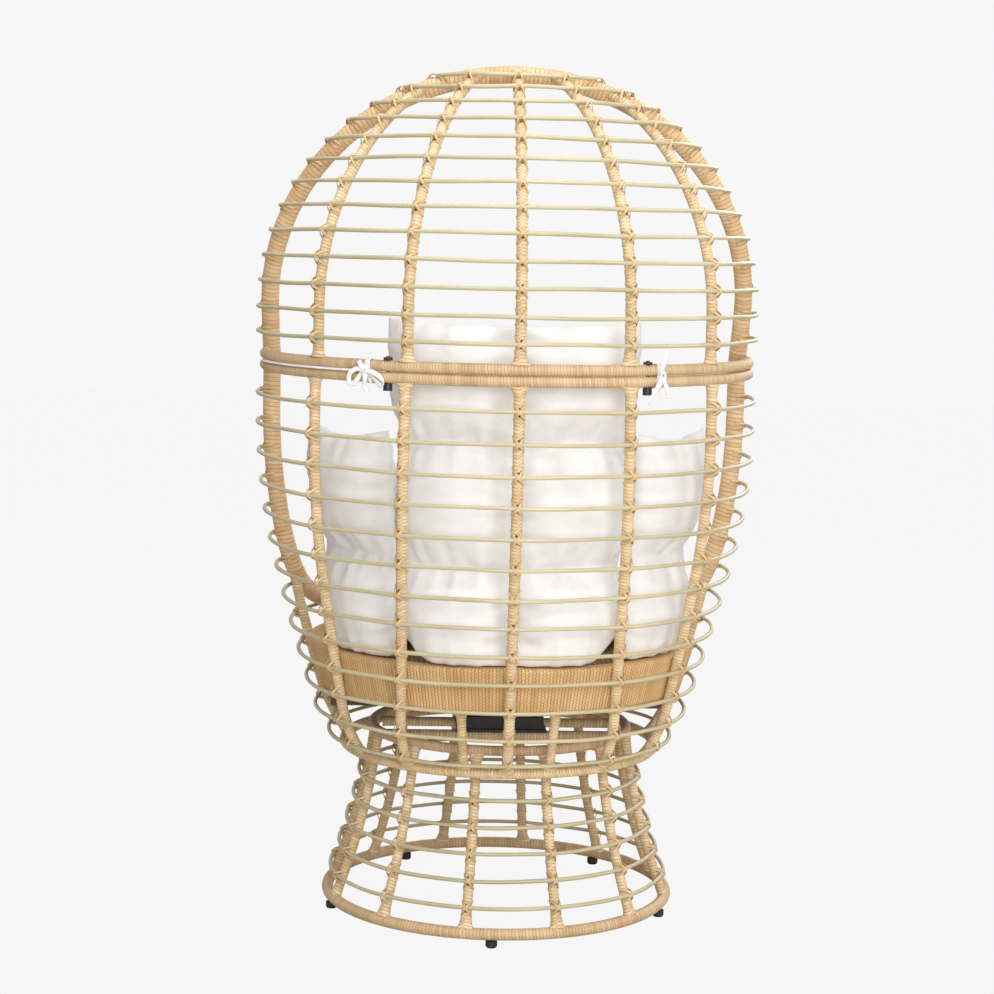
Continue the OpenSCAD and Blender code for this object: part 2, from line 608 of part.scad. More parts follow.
module seam_cap_nuts() {
  color(black_colour) stand() for (a = bolt_angles)
    at_back_angle(a) translate([pod_r, 0, cap_nut_z]) difference() {
    cylinder(r = bolt_head_r, h = cap_nut_h, $fn = 32);
    translate([0, 0, cap_nut_h / 2 - over]) cylinder(r = bolt_r + screw_play, h = cap_nut_h, $fn = 24);
  }
}

// Cushions: closed crowned forms on a grid. Puffs swell between sewn channels.
channel_share = 0.34;
edge_pull_share = 0.05;
function swell(u, v, cols, rows) = pow(max(sin(180 * u) * sin(180 * v), 0), 0.25)
  * (channel_share + (1 - channel_share) * pow(abs(sin(180 * u * cols)) * abs(sin(180 * v * rows)), 0.4));
// Where a share v of the height lies in thirds, with seams at two given shares
function in_thirds(v, low, high) = v < low ? v / low / 3
  : v < high ? (1 + (v - low) / (high - low)) / 3 : (2 + (v - high) / (1 - high)) / 3;

// A closed shell from two faces of a grid that share its border
module grid_solid(nu, nv, face) {
  back = [for (j = [0:nv]) for (i = [0:nu]) face(i / nu, j / nv, 1)];
  front = [for (j = [0:nv]) for (i = [0:nu]) face(i / nu, j / nv, 0)];
  n = (nu + 1) * (nv + 1);
  function id(i, j, side) = side == 1 || i == 0 || j == 0 || i == nu || j == nv
    ? j * (nu + 1) + i : n + j * (nu + 1) + i;
  quads = [for (side = [0, 1]) for (j = [0:nv - 1]) for (i = [0:nu - 1])
    let (q = [id(i, j, side), id(i + 1, j, side), id(i + 1, j + 1, side), id(i, j + 1, side)])
    side == 1 ? q : backwards(q)];
  polyhedron(concat(back, front), [for (q = quads) each [[q[0], q[1], q[2]], [q[0], q[2], q[3]]]]);
}

cushion_low = floor_of_soft;
// The cushions stand on the deck inside the ribs and lean back a little, away from the cage.
function cage_r(z) = bowl_r(z, -tube_r - soft_gap);
back_lean_share = 0.05;
wing_lean_share = 0.12;
function leaning_r(z, lean) = min(cage_r(z), cage_r(cushion_low) + lean * (z - cushion_low));
back_swell_share = 0.3;
wing_edge_angle = 36.3;
wing_outer_angle = 73.5;
back_edge_angle = 35.3;
head_edge_angle = 40.5;
head_widen_share = 0.11;
low_row_share = 0.282;
head_share = 0.626;
function puffed(r, w, side) = r - back_puff * back_swell_share
  + back_puff * (side == 1 ? back_swell_share : back_swell_share - 1) * w;
// The head of the back cushion widens above the wings.
function back_edge(z) = back_edge_angle
  + (head_edge_angle - back_edge_angle) * ease((z - cushion_low - wing_h) / (wing_h * head_widen_share));
function drawn_in(v, u) = v + edge_pull_share * (0.5 - v) * sin(180 * u);
function back_face(u, v, side) =
  let (z = cushion_low + (back_cushion_h - soft_gap) * drawn_in(v, u),
       row = in_thirds(v, low_row_share, head_share),
       a = (2 * u - 1) * back_edge(z) * (1 - edge_pull_share * abs(sin(180 * row * 3))),
       r = puffed(leaning_r(z, back_lean_share), swell(u, row, 2, 3), side))
  [r * sin(a), r * cos(a), z];
function wing_face(u, v, side, way) =
  let (z = cushion_low + (wing_h - soft_gap) * drawn_in(v, u),
       narrow = 1 - edge_pull_share * abs(sin(180 * v * 2)),
       a = wing_edge_angle + (wing_outer_angle - wing_edge_angle) * (0.5 + (u - 0.5) * narrow),
       r = puffed(leaning_r(z, wing_lean_share), swell(u, v, 1, 2), side))
  [way * r * sin(a), r * cos(a), z];
module back_cushion() {
  color(cloth_colour) stand() grid_solid(20, 27, function (u, v, side) back_face(u, v, side));
}
module wing_cushion_left() {
  color(cloth_colour) stand() grid_solid(12, 20, function (u, v, side) wing_face(u, v, 1 - side, 1));
}
module wing_cushion_right() {
  color(cloth_colour) stand() grid_solid(12, 20, function (u, v, side) wing_face(u, v, side, -1));
}
// The seat cushion is a round pad, shallower where the back cushions stand behind it.
seat_front_r = bowl_r(floor_of_soft, -tube_r - 5 * soft_gap);
seat_back_r = cage_r(cushion_low) - back_puff - 2 * soft_gap;
seat_steps = 44;
seat_rings = 9;
function ease(t) = let (c = min(max(t, 0), 1)) c * c * (3 - 2 * c);
seat_widens_angle = 73;
seat_full_angle = 98;
function seat_r(a) = seat_back_r
  + (seat_front_r - seat_back_r) * ease((abs(a) - seat_widens_angle) / (seat_full_angle - seat_widens_angle));
function seat_puffs(x, y) = channel_share + (1 - channel_share)
  * pow(min(abs(x), seat_front_r / 2) / (seat_front_r / 2), 0.5)
  * pow(min(abs(y + seat_front_r / 4), seat_front_r / 2) / (seat_front_r / 2), 0.5);
function seat_point(i, k, top) =
  let (a = 360 * k / seat_steps - 180, t = i / seat_rings,
       r = seat_r(a) * t * (1 - edge_pull_share * (1 - abs(cos(2 * a))) * t),
       x = r * sin(a), y = r * cos(a), crown = pow(1 - pow(t, 3), 0.4),
       z = floor_of_soft + seat_puff * (top ? 0.3 + 0.7 * crown * seat_puffs(x, y) : 0.3 * pow(t, 8)))
  [x, y, z];
module seat_cushion() {
  tops = [for (i = [1:seat_rings]) for (k = [0:seat_steps - 1]) seat_point(i, k, true)];
  lows = [for (i = [1:seat_rings - 1]) for (k = [0:seat_steps - 1]) seat_point(i, k, false)];
  n = len(tops);
  centre_top = n + len(lows);
  function top_id(i, k) = (i - 1) * seat_steps + k % seat_steps;
  function low_id(i, k) = i == seat_rings ? top_id(i, k) : n + (i - 1) * seat_steps + k % seat_steps;
  faces = [for (k = [0:seat_steps - 1]) each concat(
    [[centre_top, top_id(1, k), top_id(1, k + 1)], [centre_top + 1, low_id(1, k + 1), low_id(1, k)]],
    [for (i = [1:seat_rings - 1]) each [
      [top_id(i, k), top_id(i + 1, k), top_id(i + 1, k + 1)], [top_id(i, k), top_id(i + 1, k + 1), top_id(i, k + 1)],
      [low_id(i, k), low_id(i + 1, k + 1), low_id(i + 1, k)], [low_id(i, k), low_id(i, k + 1), low_id(i + 1, k + 1)]]])];
  middles = [[0, 0, seat_point(1, 0, true)[2]], [0, 0, floor_of_soft]];
  color(cloth_colour) stand() polyhedron(concat(tops, lows, middles), faces);
}

// Ribbon ties: a flat loop round both seam rings, with a bow outside
tie_t = 1.5;
tie_loop_w = 2 * seam_tube_r + 2 * rest_gap;
tie_loop_h = 4 * seam_tube_r + bind + 2 * rest_gap;
bow_w = 3 * tie_w;
module tie() {
  translate([pod_r, 0, seam_z]) {
    rotate([90, 0, 0]) linear_extrude(height = tie_w, center = true) difference() {
      square([tie_loop_w + 2 * tie_t, tie_loop_h + 2 * tie_t], center = true);
      square([tie_loop_w, tie_loop_h], center = true);
    }
    for (side = [-1, 1]) translate([tie_loop_w / 2 + tie_t + tie_w / 4 - over / 4, side * bow_w / 4, -tie_w / 2])
      rotate([90, 0, 0]) cylinder(r = tie_w / 4, h = bow_w / 2, center = true, $fn = 24);
  }
}
module cushion_tie_left() { color(cloth_colour) stand() at_back_angle(left_tie_angle) tie(); }
module cushion_tie_right() { color(cloth_colour) stand() at_back_angle(-right_tie_angle) tie(); }

base_bottom_ring();
base_top_ring();
base_ribs();
base_canes();
base_cross_bars();
foot_glides();
swivel_base_plate();
swivel_lower_block();
swivel_pin();
swivel_pin_nut();
swivel_base_screws();
swivel_balls();
swivel_ball_cage();
swivel_upper_block();
swivel_top_plate();
swivel_top_screws();
deck_beams();
deck_frame();
deck_weave();
pod_bottom_ring();
skirt_struts();
bowl_canes();
bowl_rim();
bowl_seam_ring();
hood_seam_ring();
hood_rim();
hood_canes();
seam_bolts();
seam_cap_nuts();
seat_cushion();
back_cushion();
wing_cushion_left();
wing_cushion_right();
cushion_tie_left();
cushion_tie_right();
for (i = [1:hood_rib_count]) hood_rib(i);
for (i = [1:back_rib_count]) bowl_rib(i);
side_rib_left();
side_rib_right();
for (i = [1:front_rib_count]) front_rib(i);
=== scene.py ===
"""Looks of the pod chair: wrapped tubes, bound canes, woven deck, puffed cushions and ribbon ties.
Lengths are in metres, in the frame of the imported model. Angles round the pod start at the middle of
the back (+Y) and grow towards +X."""

import math

import bpy
import numpy as np
from mathutils import Matrix, Vector


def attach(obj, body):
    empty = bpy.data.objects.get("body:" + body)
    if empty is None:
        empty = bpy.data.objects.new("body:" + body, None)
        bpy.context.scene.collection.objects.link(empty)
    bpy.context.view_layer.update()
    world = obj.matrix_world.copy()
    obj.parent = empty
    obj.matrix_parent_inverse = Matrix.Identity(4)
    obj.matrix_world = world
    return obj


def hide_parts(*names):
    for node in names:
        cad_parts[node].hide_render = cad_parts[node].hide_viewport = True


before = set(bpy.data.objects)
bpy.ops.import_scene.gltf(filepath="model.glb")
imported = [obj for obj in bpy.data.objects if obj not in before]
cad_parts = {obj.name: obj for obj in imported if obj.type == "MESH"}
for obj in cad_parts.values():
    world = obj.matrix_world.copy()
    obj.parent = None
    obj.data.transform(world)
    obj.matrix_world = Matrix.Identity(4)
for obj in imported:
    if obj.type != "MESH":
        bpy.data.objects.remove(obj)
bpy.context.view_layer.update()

SEED = 11
rng = np.random.default_rng(SEED)

# Sizes shared with the solids: first the swivel axis and heights
AXIS_Y = -0.0364668
SEAM_Z = 0.9748
DOME_Z = 1.0698
LIP_Z = 0.4993
DECK_Z = 0.4008
DECK_TOP = 0.4828
# Radii of the pod and its tubes, and how far out the canes and in the rims lie
POD_R = 0.4275
TUBE_R = 0.009
RIM_R = 0.016
CANE_R = 0.0035
SEAM_TUBE_R = 0.00925
SEAM_OFF = 0.0095
CANE_GAP = 0.0005
BOUND_OUT = TUBE_R + CANE_R + CANE_GAP
RIM_IN = RIM_R - TUBE_R
# Angles round the pod, in degrees, and the lines of its opening and rim
RIB_STEP = 25.3
HOOD_RIB_STEP = 24.8
RIB_SPREAD = 11.2
SIDE_ANGLE = 101.0
FRONT_ANGLE = 142.0
HOOD_LEAN = math.radians(20.5)
OPENING = 96.5
RIM_FALL = 13.0
RIM_TURN = 0.111
# Base: its rings, foot tube and how far its ribs bend in
BASE_RING_R = 0.306
BASE_TOP_R = 0.2285943
BASE_RING_Z = 0.0223
BASE_TOP_Z = 0.3213
BASE_FOOT_R = 0.0103
BASE_WAIST = 0.011
# Lines of the pod's ribs: straight runs, and the bends of the bowl with their turns in degrees
HOOD_STRAIGHT = DOME_Z - SEAM_Z
BOWL_STRAIGHT = 0.09
BOWL_BENDS = (1.082, 4.998, 0.293)
BOWL_TURNS = (14.3, 2.7, 21.8)
# How fast the ribs spread and the rim turns level, and how far a rim ends from the seam
SPREAD_POWER = 2.4
RIM_POWER = 4
RIM_CUT = 0.00025


# ---- Meshes -------------------------------------------------------------------------------------

def new_object(name, verts, faces, uv=None, smooth=True):
    """Makes a mesh object. uv holds one pair for each vertex."""
    mesh = bpy.data.meshes.new(name)
    mesh.from_pydata(np.asarray(verts, float).tolist(), [], [list(map(int, f)) for f in faces])
    if uv is not None:
        corner = np.zeros(len(mesh.loops), np.int32)
        mesh.loops.foreach_get("vertex_index", corner)
        layer = mesh.uv_layers.new(name="strand")
        layer.data.foreach_set("uv", np.asarray(uv, float)[corner].astype(np.float32).ravel())
    mesh.update()
    if smooth:
        mesh.polygons.foreach_set("use_smooth", np.ones(len(mesh.polygons), bool))
    obj = bpy.data.objects.new(name, mesh)
    bpy.context.scene.collection.objects.link(obj)
    return obj


def unit(v):
    return v / np.maximum(np.linalg.norm(v, axis=-1, keepdims=True), 1e-12)


def on_axis(points):
    """Moves points drawn about the swivel axis to where the axis stands."""
    out = np.array(points, float)
    out[..., 1] += AXIS_Y
    return out


def resample(path, step):
    """Points at even distances along a path."""
    gaps = np.linalg.norm(np.diff(path, axis=0), axis=1)
    run = np.concatenate([[0], np.cumsum(gaps)])
    count = max(int(round(run[-1] / step)), 2)
    at = np.linspace(0, run[-1], count + 1)
    return np.stack([np.interp(at, run, path[:, k]) for k in range(3)], axis=1), at


def grid_faces(rows, sides, closed):
    faces = []
    for i in range(rows if closed else rows - 1):
        j = (i + 1) % rows
        for k in range(sides):
            m = (k + 1) % sides
            faces.append((i * sides + k, i * sides + m, j * sides + m, j * sides + k))
    return faces


def end_faces(rows, sides):
    return [tuple(range(sides))[::-1], tuple(range((rows - 1) * sides, rows * sides))]


def strand_sweep(path, outs, radii, along, width_scale=None, closed=False, sides=12, first=0.0):
    """A tube along a path. radii gives sizes by ring and side, width_scale widens each ring sideways, and
    the UV map runs along and round the tube."""
    n = len(path)
    if closed:
        tangent = unit(np.roll(path, -1, 0) - np.roll(path, 1, 0))
    else:
        tangent = unit(np.gradient(path, axis=0))
    out = unit(outs - (outs * tangent).sum(1, keepdims=True) * tangent)
    side = np.cross(tangent, out)
    angle = first + 2 * math.pi * np.arange(sides) / sides
    radii = np.broadcast_to(radii, (n, sides))
    wide = np.ones((n, 1)) if width_scale is None else np.asarray(width_scale).reshape(n, 1)
    verts = (path[:, None, :] + (radii * np.cos(angle))[..., None] * out[:, None, :]
             + (radii * np.sin(angle) * wide)[..., None] * side[:, None, :])
    faces = grid_faces(n, sides, closed)
    if not closed:
        faces += end_faces(n, sides)
    uv = np.stack(np.broadcast_arrays(along[:, None], np.arange(sides)[None, :] / sides), axis=-1)
    return verts.reshape(-1, 3), faces, uv.reshape(-1, 2)


def joined(name, pieces):
    """One object from several (verts, faces, uv) pieces drawn about the swivel axis."""
    verts, faces, uvs, start = [], [], [], 0
    for v, f, u in pieces:
        verts.append(on_axis(v))
        faces += [tuple(int(a) + start for a in face) for face in f]
        uvs.append(u)
        start += len(v)
    return new_object(name, np.concatenate(verts), faces, np.concatenate(uvs))


# ---- The pod's lines ------------------------------------------------------------------------------

def bowl_table():
    """Distance, radius, height and slope down the bowl rib, which has a straight run and three bends, and
    its length."""
    s, r, z, slope = [0.0], [POD_R], [SEAM_Z], [0.0]
    step, past_end = 0.0005, 0.02
    marks = [BOWL_STRAIGHT]
    for bend, turn in zip(BOWL_BENDS, BOWL_TURNS):
        marks.append(marks[-1] + bend * math.radians(turn))
    while s[-1] < marks[-1] + past_end:
        passed = sum(s[-1] + step / 2 >= mark for mark in marks[:-1])
        rate = 1 / BOWL_BENDS[passed - 1] if passed else 0.0
        mid = slope[-1] + rate * step / 2
        s.append(s[-1] + step)
        r.append(r[-1] - step * math.sin(mid))
        z.append(z[-1] - step * math.cos(mid))
        slope.append(slope[-1] + rate * step)
    return np.array(s), np.array(r), np.array(z), np.array(slope), marks[-1]


BOWL_S, BOWL_R, BOWL_Z, BOWL_SLOPE, BOWL_LENGTH = bowl_table()
RING_R = float(np.interp(BOWL_LENGTH, BOWL_S, BOWL_R))
RING_Z = float(np.interp(BOWL_LENGTH, BOWL_S, BOWL_Z))


def bowl_at(s):
    """Radius, height and slope of the bowl rib at distance s below the seam."""
    return (np.interp(s, BOWL_S, BOWL_R), np.interp(s, BOWL_S, BOWL_Z), np.interp(s, BOWL_S, BOWL_SLOPE))


def bowl_radius(z):
    return np.interp(-np.asarray(z, float), -BOWL_Z, BOWL_R)


def bowl_distance(z):
    return np.interp(-np.asarray(z, float), -BOWL_Z, BOWL_S)


def hood_at(s):
    """Radius, height and tilt of the hood rib at distance s above the seam."""
    turn = np.maximum(np.asarray(s, float) - HOOD_STRAIGHT, 0) / POD_R
    straight = np.minimum(s, HOOD_STRAIGHT)
    return POD_R * np.cos(turn), SEAM_Z + straight + POD_R * np.sin(turn), turn


def pod_radius(z):
    """Radius of the pod's ribs at any height."""
    z = np.asarray(z, float)
    dome = np.sqrt(np.maximum(POD_R ** 2 - np.maximum(z - DOME_Z, 0) ** 2, 0))
    return np.where(z >= SEAM_Z, dome, bowl_radius(z))


def round_axis(radius, degrees, z):
    """Points round the axis at angles in degrees."""
    a = np.radians(degrees)
    return np.stack(np.broadcast_arrays(radius * np.sin(a), radius * np.cos(a), z), axis=-1)


def opening_y(z):
    """How far back the hood's opening lies at a height."""
    return POD_R * math.cos(math.radians(OPENING)) + (np.asarray(z, float) - SEAM_Z) * math.tan(HOOD_LEAN)


def rim_height(degrees):
    """Height of the bowl's rim at an angle round the pod."""
    growth = np.exp(RIM_POWER * (np.asarray(degrees, float) - OPENING) / RIM_FALL) - 1
    return LIP_Z + RIM_TURN * growth ** (-1 / RIM_POWER)


def rim_degrees(z):
    """Angle round the pod at which the bowl's rim passes a height."""
    over_lip = np.maximum(np.asarray(z, float) - LIP_Z, 0.0005)
    return OPENING + RIM_FALL / RIM_POWER * np.log(1 + (RIM_TURN / over_lip) ** RIM_POWER)


def spread(angle, z):
    """Angle of a bowl rib at a height. The ribs spread towards the bottom ring."""
    drop = np.clip((SEAM_Z - np.asarray(z, float)) / (SEAM_Z - RING_Z), 0, 1)
    return angle + np.sign(angle) * RIB_SPREAD * drop ** SPREAD_POWER


def hood_rim_path():
    radius = POD_R - RIM_IN
    cos, sin = math.cos(HOOD_LEAN), math.sin(HOOD_LEAN)
    off = POD_R * math.cos(math.radians(OPENING)) * cos + HOOD_STRAIGHT * sin
    arch = math.sqrt(radius ** 2 - off ** 2)
    a = np.linspace(0, math.acos(off * math.tan(HOOD_LEAN) / arch), 160)
    top = np.stack([arch * np.sin(a), off * cos + arch * np.cos(a) * sin,
                    DOME_Z - off * sin + arch * np.cos(a) * cos], axis=1)
    z = np.linspace(DOME_Z, SEAM_Z + RIM_CUT, 40)[1:]
    y = opening_y(z)
    low = np.stack([np.sqrt(radius ** 2 - y ** 2), y, z], axis=1)
    half = np.concatenate([top, low])
    return np.concatenate([half[:0:-1] * (-1, 1, 1), half])


def bowl_rim_path():
    corner_top, corner_end = LIP_Z + 0.06, LIP_Z + 0.03
    down = np.linspace(SEAM_Z - RIM_CUT, corner_top, 160)
    z = np.concatenate([down, np.linspace(corner_top, corner_end, 30)[1:]])
    a = rim_degrees(z)
    front = np.linspace(a[-1], 180, 160)[1:]
    a, z = np.concatenate([a, front]), np.concatenate([z, rim_height(front)])
    half = round_axis(bowl_radius(z) - RIM_IN, a, z)
    return np.concatenate([half * (-1, 1, 1), half[-2::-1]])


# ---- Materials ------------------------------------------------------------------------------------

COLOR, FLOAT, VECTOR = "NodeSocketColor", "NodeSocketFloat", "NodeSocketVector"


def srgb(r, g, b):
    def lin(c):
        c /= 255
        return c / 12.92 if c <= 0.04045 else ((c + 0.055) / 1.055) ** 2.4
    return (lin(r), lin(g), lin(b), 1)


class Graph:
    """Adds nodes to a tree and joins them, with short names for the ones used here."""

    def __init__(self, tree):
        self.tree = tree

    def node(self, kind, values=None, **settings):
        made = self.tree.nodes.new(kind)
        for key, value in settings.items():
            setattr(made, key, value)
        for key, value in (values or {}).items():
            if isinstance(value, bpy.types.NodeSocket):
                self.tree.links.new(value, made.inputs[key])
            else:
                made.inputs[key].default_value = value
        return made

    def feed(self, node, values):
        for key, value in values.items():
            self.tree.links.new(value, node.inputs[key])

    def math(self, kind, a, b=0.0):
        return self.node("ShaderNodeMath", {0: a, 1: b}, operation=kind).outputs[0]

    def plus(self, a, b):
        return self.math("ADD", a, b)

    def minus(self, a, b):
        return self.math("SUBTRACT", a, b)

    def times(self, a, b):
        return self.math("MULTIPLY", a, b)

    def mix(self, factor, a, b):
        return self.node("ShaderNodeMix", {0: factor, 6: a, 7: b}, data_type="RGBA").outputs[2]

    def noise(self, vector, scale, detail=2.0, rough=0.5):
        values = {"Vector": vector, "Scale": scale, "Detail": detail, "Roughness": rough}
        return self.node("ShaderNodeTexNoise", values).outputs["Fac"]

    def tone_of(self, count):
        """One random tone for each whole number."""
        return self.node("ShaderNodeTexWhiteNoise", {"W": count}, noise_dimensions="1D").outputs["Value"]

    def span(self, value, low, high, to_low=0.0, to_high=1.0, **settings):
        values = {"Value": value, "From Min": low, "From Max": high, "To Min": to_low, "To Max": to_high}
        return self.node("ShaderNodeMapRange", values, **settings).outputs["Result"]

    def parts(self, vector):
        return self.node("ShaderNodeSeparateXYZ", {0: vector}).outputs

    def vector(self, x, y, z=0.0):
        return self.node("ShaderNodeCombineXYZ", {0: x, 1: y, 2: z}).outputs[0]

    def place(self):
        return self.node("ShaderNodeTexCoord").outputs["Object"]

    def strand_map(self):
        return self.node("ShaderNodeUVMap", uv_map="strand").outputs[0]


def new_group(name, inputs, outputs):
    group = bpy.data.node_groups.new(name, "ShaderNodeTree")
    for label, kind, value in inputs:
        socket = group.interface.new_socket(name=label, in_out="INPUT", socket_type=kind)
        if value is not None:
            socket.default_value = value
    for label, kind in outputs:
        group.interface.new_socket(name=label, in_out="OUTPUT", socket_type=kind)
    graph = Graph(group)
    return group, graph, graph.node("NodeGroupInput").outputs, graph.node("NodeGroupOutput")


def make_strand_group():
    """Resin strand wound round a tube: one tone for each turn, dark joints and fine drawn lines."""
    group, g, given, out = new_group(
        "wound strand",
        [("Light tone", COLOR, None), ("Deep tone", COLOR, None), ("Joint tone", COLOR, None),
         ("Joint width", FLOAT, 0.12), ("Turn slant", FLOAT, 1.0)],
        [("Colour", COLOR), ("Height", FLOAT), ("Roughness", FLOAT)])
    lines_along, lines_around, patch_size = 7.0, 2.2, 9.0
    turn_share, line_share, patch_share, joint_depth = 0.55, 0.45, 0.25, 0.8
    along, around, _ = g.parts(g.strand_map())
    turn = g.plus(along, g.times(around, given["Turn slant"]))
    count, within = g.math("FLOOR", turn), g.math("FRACT", turn)
    edge = g.math("MINIMUM", within, g.minus(1.0, within))
    joint = g.span(edge, 0.0, given["Joint width"], 1.0, 0.0, interpolation_type="SMOOTHSTEP")
    drawn = g.vector(g.times(turn, lines_along), g.times(around, lines_around), count)
    lines = g.noise(drawn, 1.0, 3.0, 0.6)
    patch = g.span(g.noise(g.place(), patch_size), 0.3, 0.7, -patch_share, patch_share)
    mottle = g.plus(g.times(g.tone_of(count), turn_share), g.plus(g.times(lines, line_share), patch))
    base = g.mix(g.span(mottle, 0.15, 0.95), given["Light tone"], given["Deep tone"])
    g.feed(out, {
        "Colour": g.mix(g.times(joint, joint_depth), base, given["Joint tone"]),
        "Height": g.plus(g.times(g.minus(1.0, joint), joint_depth), g.times(lines, 0.2)),
        "Roughness": g.span(lines, 0.2, 0.8, 0.42, 0.62)})
    return group


def make_cane_group():
    """Drawn resin cane: long faint streaks along the strand, and slow changes of tone."""
    group, g, given, out = new_group(
        "drawn cane", [("Light tone", COLOR, None), ("Deep tone", COLOR, None)],
        [("Colour", COLOR), ("Height", FLOAT), ("Roughness", FLOAT)])
    streaks_along, streaks_around, patch_size = 9.0, 14.0, 6.0
    streak_share, patch_share = 0.6, 0.4
    along, around, _ = g.parts(g.strand_map())
    drawn = g.vector(g.times(along, streaks_along), g.times(around, streaks_around))
    streaks = g.noise(drawn, 1.0, 3.0, 0.65)
    tone = g.plus(g.times(streaks, streak_share), g.times(g.noise(g.place(), patch_size), patch_share))
    g.feed(out, {
        "Colour": g.mix(g.span(tone, 0.35, 0.65), given["Light tone"], given["Deep tone"]),
        "Height": streaks,
        "Roughness": g.span(streaks, 0.3, 0.7, 0.3, 0.5)})
    return group


def make_weave_group():
    """Height of a plain weave of two crossing yarns, from a position on the surface."""
    group, g, given, out = new_group(
        "plain weave", [("Position", VECTOR, None), ("Yarns", FLOAT, 900.0)], [("Height", FLOAT)])
    x, y, _ = g.parts(given["Position"])
    a, b = g.times(x, given["Yarns"]), g.times(y, given["Yarns"])
    warp, weft = [g.math("ABSOLUTE", g.math("SINE", g.times(yarn, math.pi))) for yarn in (a, b)]
    square = g.plus(g.math("FLOOR", a), g.math("FLOOR", b))
    over = g.math("GREATER_THAN", g.math("MODULO", g.math("ABSOLUTE", square), 2.0), 0.5)
    g.feed(out, {"Height": g.plus(g.times(warp, over), g.times(weft, g.minus(1.0, over)))})
    return group


STRAND = make_strand_group()
CANE = make_cane_group()
WEAVE = make_weave_group()


def new_material(name, **constants):
    mat = bpy.data.materials.new(name)
    mat.use_nodes = True
    mat.node_tree.nodes.clear()
    g = Graph(mat.node_tree)
    shader = g.node("ShaderNodeBsdfPrincipled", constants)
    g.feed(g.node("ShaderNodeOutputMaterial"), {0: shader.outputs[0]})
    return mat, g, shader


def add_bump(g, shader, height, strength, distance):
    bump = g.node("ShaderNodeBump", {"Height": height, "Strength": strength, "Distance": distance})
    g.feed(shader, {"Normal": bump.outputs[0]})


def add_strand(g, shader, group, values, strength, distance):
    """Places a strand group in a material, with its colour, roughness and height."""
    made = g.node("ShaderNodeGroup", values, node_tree=group).outputs
    g.feed(shader, {"Base Color": made["Colour"], "Roughness": made["Roughness"]})
    add_bump(g, shader, made["Height"], strength, distance)


def wound_material(name, light, deep, joint, width=0.12, slant=1.0):
    mat, g, shader = new_material(name, **{"Specular IOR Level": 0.35})
    values = {"Light tone": light, "Deep tone": deep, "Joint tone": joint,
              "Joint width": width, "Turn slant": slant}
    add_strand(g, shader, STRAND, values, strength=0.6, distance=0.0008)
    return mat


def cane_material(name, light, deep):
    mat, g, shader = new_material(name, **{"Specular IOR Level": 0.4})
    add_strand(g, shader, CANE, {"Light tone": light, "Deep tone": deep}, strength=0.25, distance=0.0004)
    return mat


def cloth_material(name, light, shade, yarns=900.0, crease=0.35):
    mat, g, shader = new_material(name, **{
        "Roughness": 0.95, "Specular IOR Level": 0.15, "Sheen Weight": 0.12, "Sheen Roughness": 0.5})
    weave_share = 0.06
    place = g.place()
    x, y, z = g.parts(place)
    spot = g.vector(g.plus(x, y), z)
    weave = g.node("ShaderNodeGroup", {"Position": spot, "Yarns": yarns}, node_tree=WEAVE)
    soft = g.noise(place, 22.0, 4.0, 0.55)
    g.feed(shader, {"Base Color": g.mix(g.span(soft, 0.35, 0.7), light, shade)})
    height = g.plus(g.times(weave.outputs[0], weave_share), g.times(soft, crease))
    add_bump(g, shader, height, strength=0.35, distance=0.004)
    return mat


def woven_band_material(name, light, deep, joint):
    """Upright yarns side by side, each crossed by fine turns that step up from yarn to yarn."""
    mat, g, shader = new_material(name, **{"Specular IOR Level": 0.3, "Roughness": 0.6})
    turns, bow, step_depth, gap_depth = 12.0, 0.6, 0.7, 0.75
    around, up, _ = g.parts(g.strand_map())
    yarn = g.math("FLOOR", around)
    inside = g.math("ABSOLUTE", g.minus(g.math("FRACT", around), 0.5))
    rise = g.plus(g.times(up, turns), g.times(g.math("MODULO", yarn, 2.0), 0.5))
    step = g.math("FRACT", g.plus(rise, g.times(inside, bow)))
    step_edge = g.span(g.math("ABSOLUTE", g.minus(step, 0.5)), 0.36, 0.5)
    gap = g.math("MAXIMUM", g.span(inside, 0.3, 0.5), g.times(step_edge, step_depth))
    patch = g.span(g.noise(g.place(), 14.0, 3.0), 0.35, 0.65, 0.0, 0.5)
    base = g.mix(g.plus(g.times(g.tone_of(yarn), 0.5), patch), light, deep)
    g.feed(shader, {"Base Color": g.mix(g.times(gap, gap_depth), base, joint)})
    add_bump(g, shader, g.minus(1.0, gap), strength=0.6, distance=0.0009)
    return mat


def lattice_material(name, yarn, hole_shade):
    """Coarse open weave on a flat face: flat yarns both ways over painted shade, a dark tone where the holes
    would show the shaded inside.
    """
    mat, g, shader = new_material(name, **{"Specular IOR Level": 0.2, "Roughness": 0.7})
    spot = g.strand_map()
    height = g.node("ShaderNodeGroup", {"Position": spot, "Yarns": 1.0}, node_tree=WEAVE).outputs[0]
    seen = g.times(g.span(height, 0.3, 0.8), g.span(g.noise(spot, 0.7), 0.3, 0.7, 0.7, 1.0))
    # Between the yarns the flat face takes the dark hole tone, which is painted shade.
    g.feed(shader, {"Base Color": g.mix(seen, hole_shade, yarn)})
    add_bump(g, shader, height, strength=0.6, distance=0.0015)
    return mat


def metal_material(name, colour, metallic, rough, grain=60.0, bump=0.08):
    mat, g, shader = new_material(name, **{"Metallic": metallic})
    place = g.place()
    patch = g.noise(place, grain, 3.0)
    deep = tuple(c * 0.8 for c in colour[:3]) + (1,)
    g.feed(shader, {"Base Color": g.mix(g.span(patch, 0.35, 0.7), colour, deep),
                    "Roughness": g.span(patch, 0.3, 0.7, rough - 0.08, rough + 0.1)})
    add_bump(g, shader, g.noise(place, grain * 12, 3.0), strength=bump, distance=0.0003)
    return mat


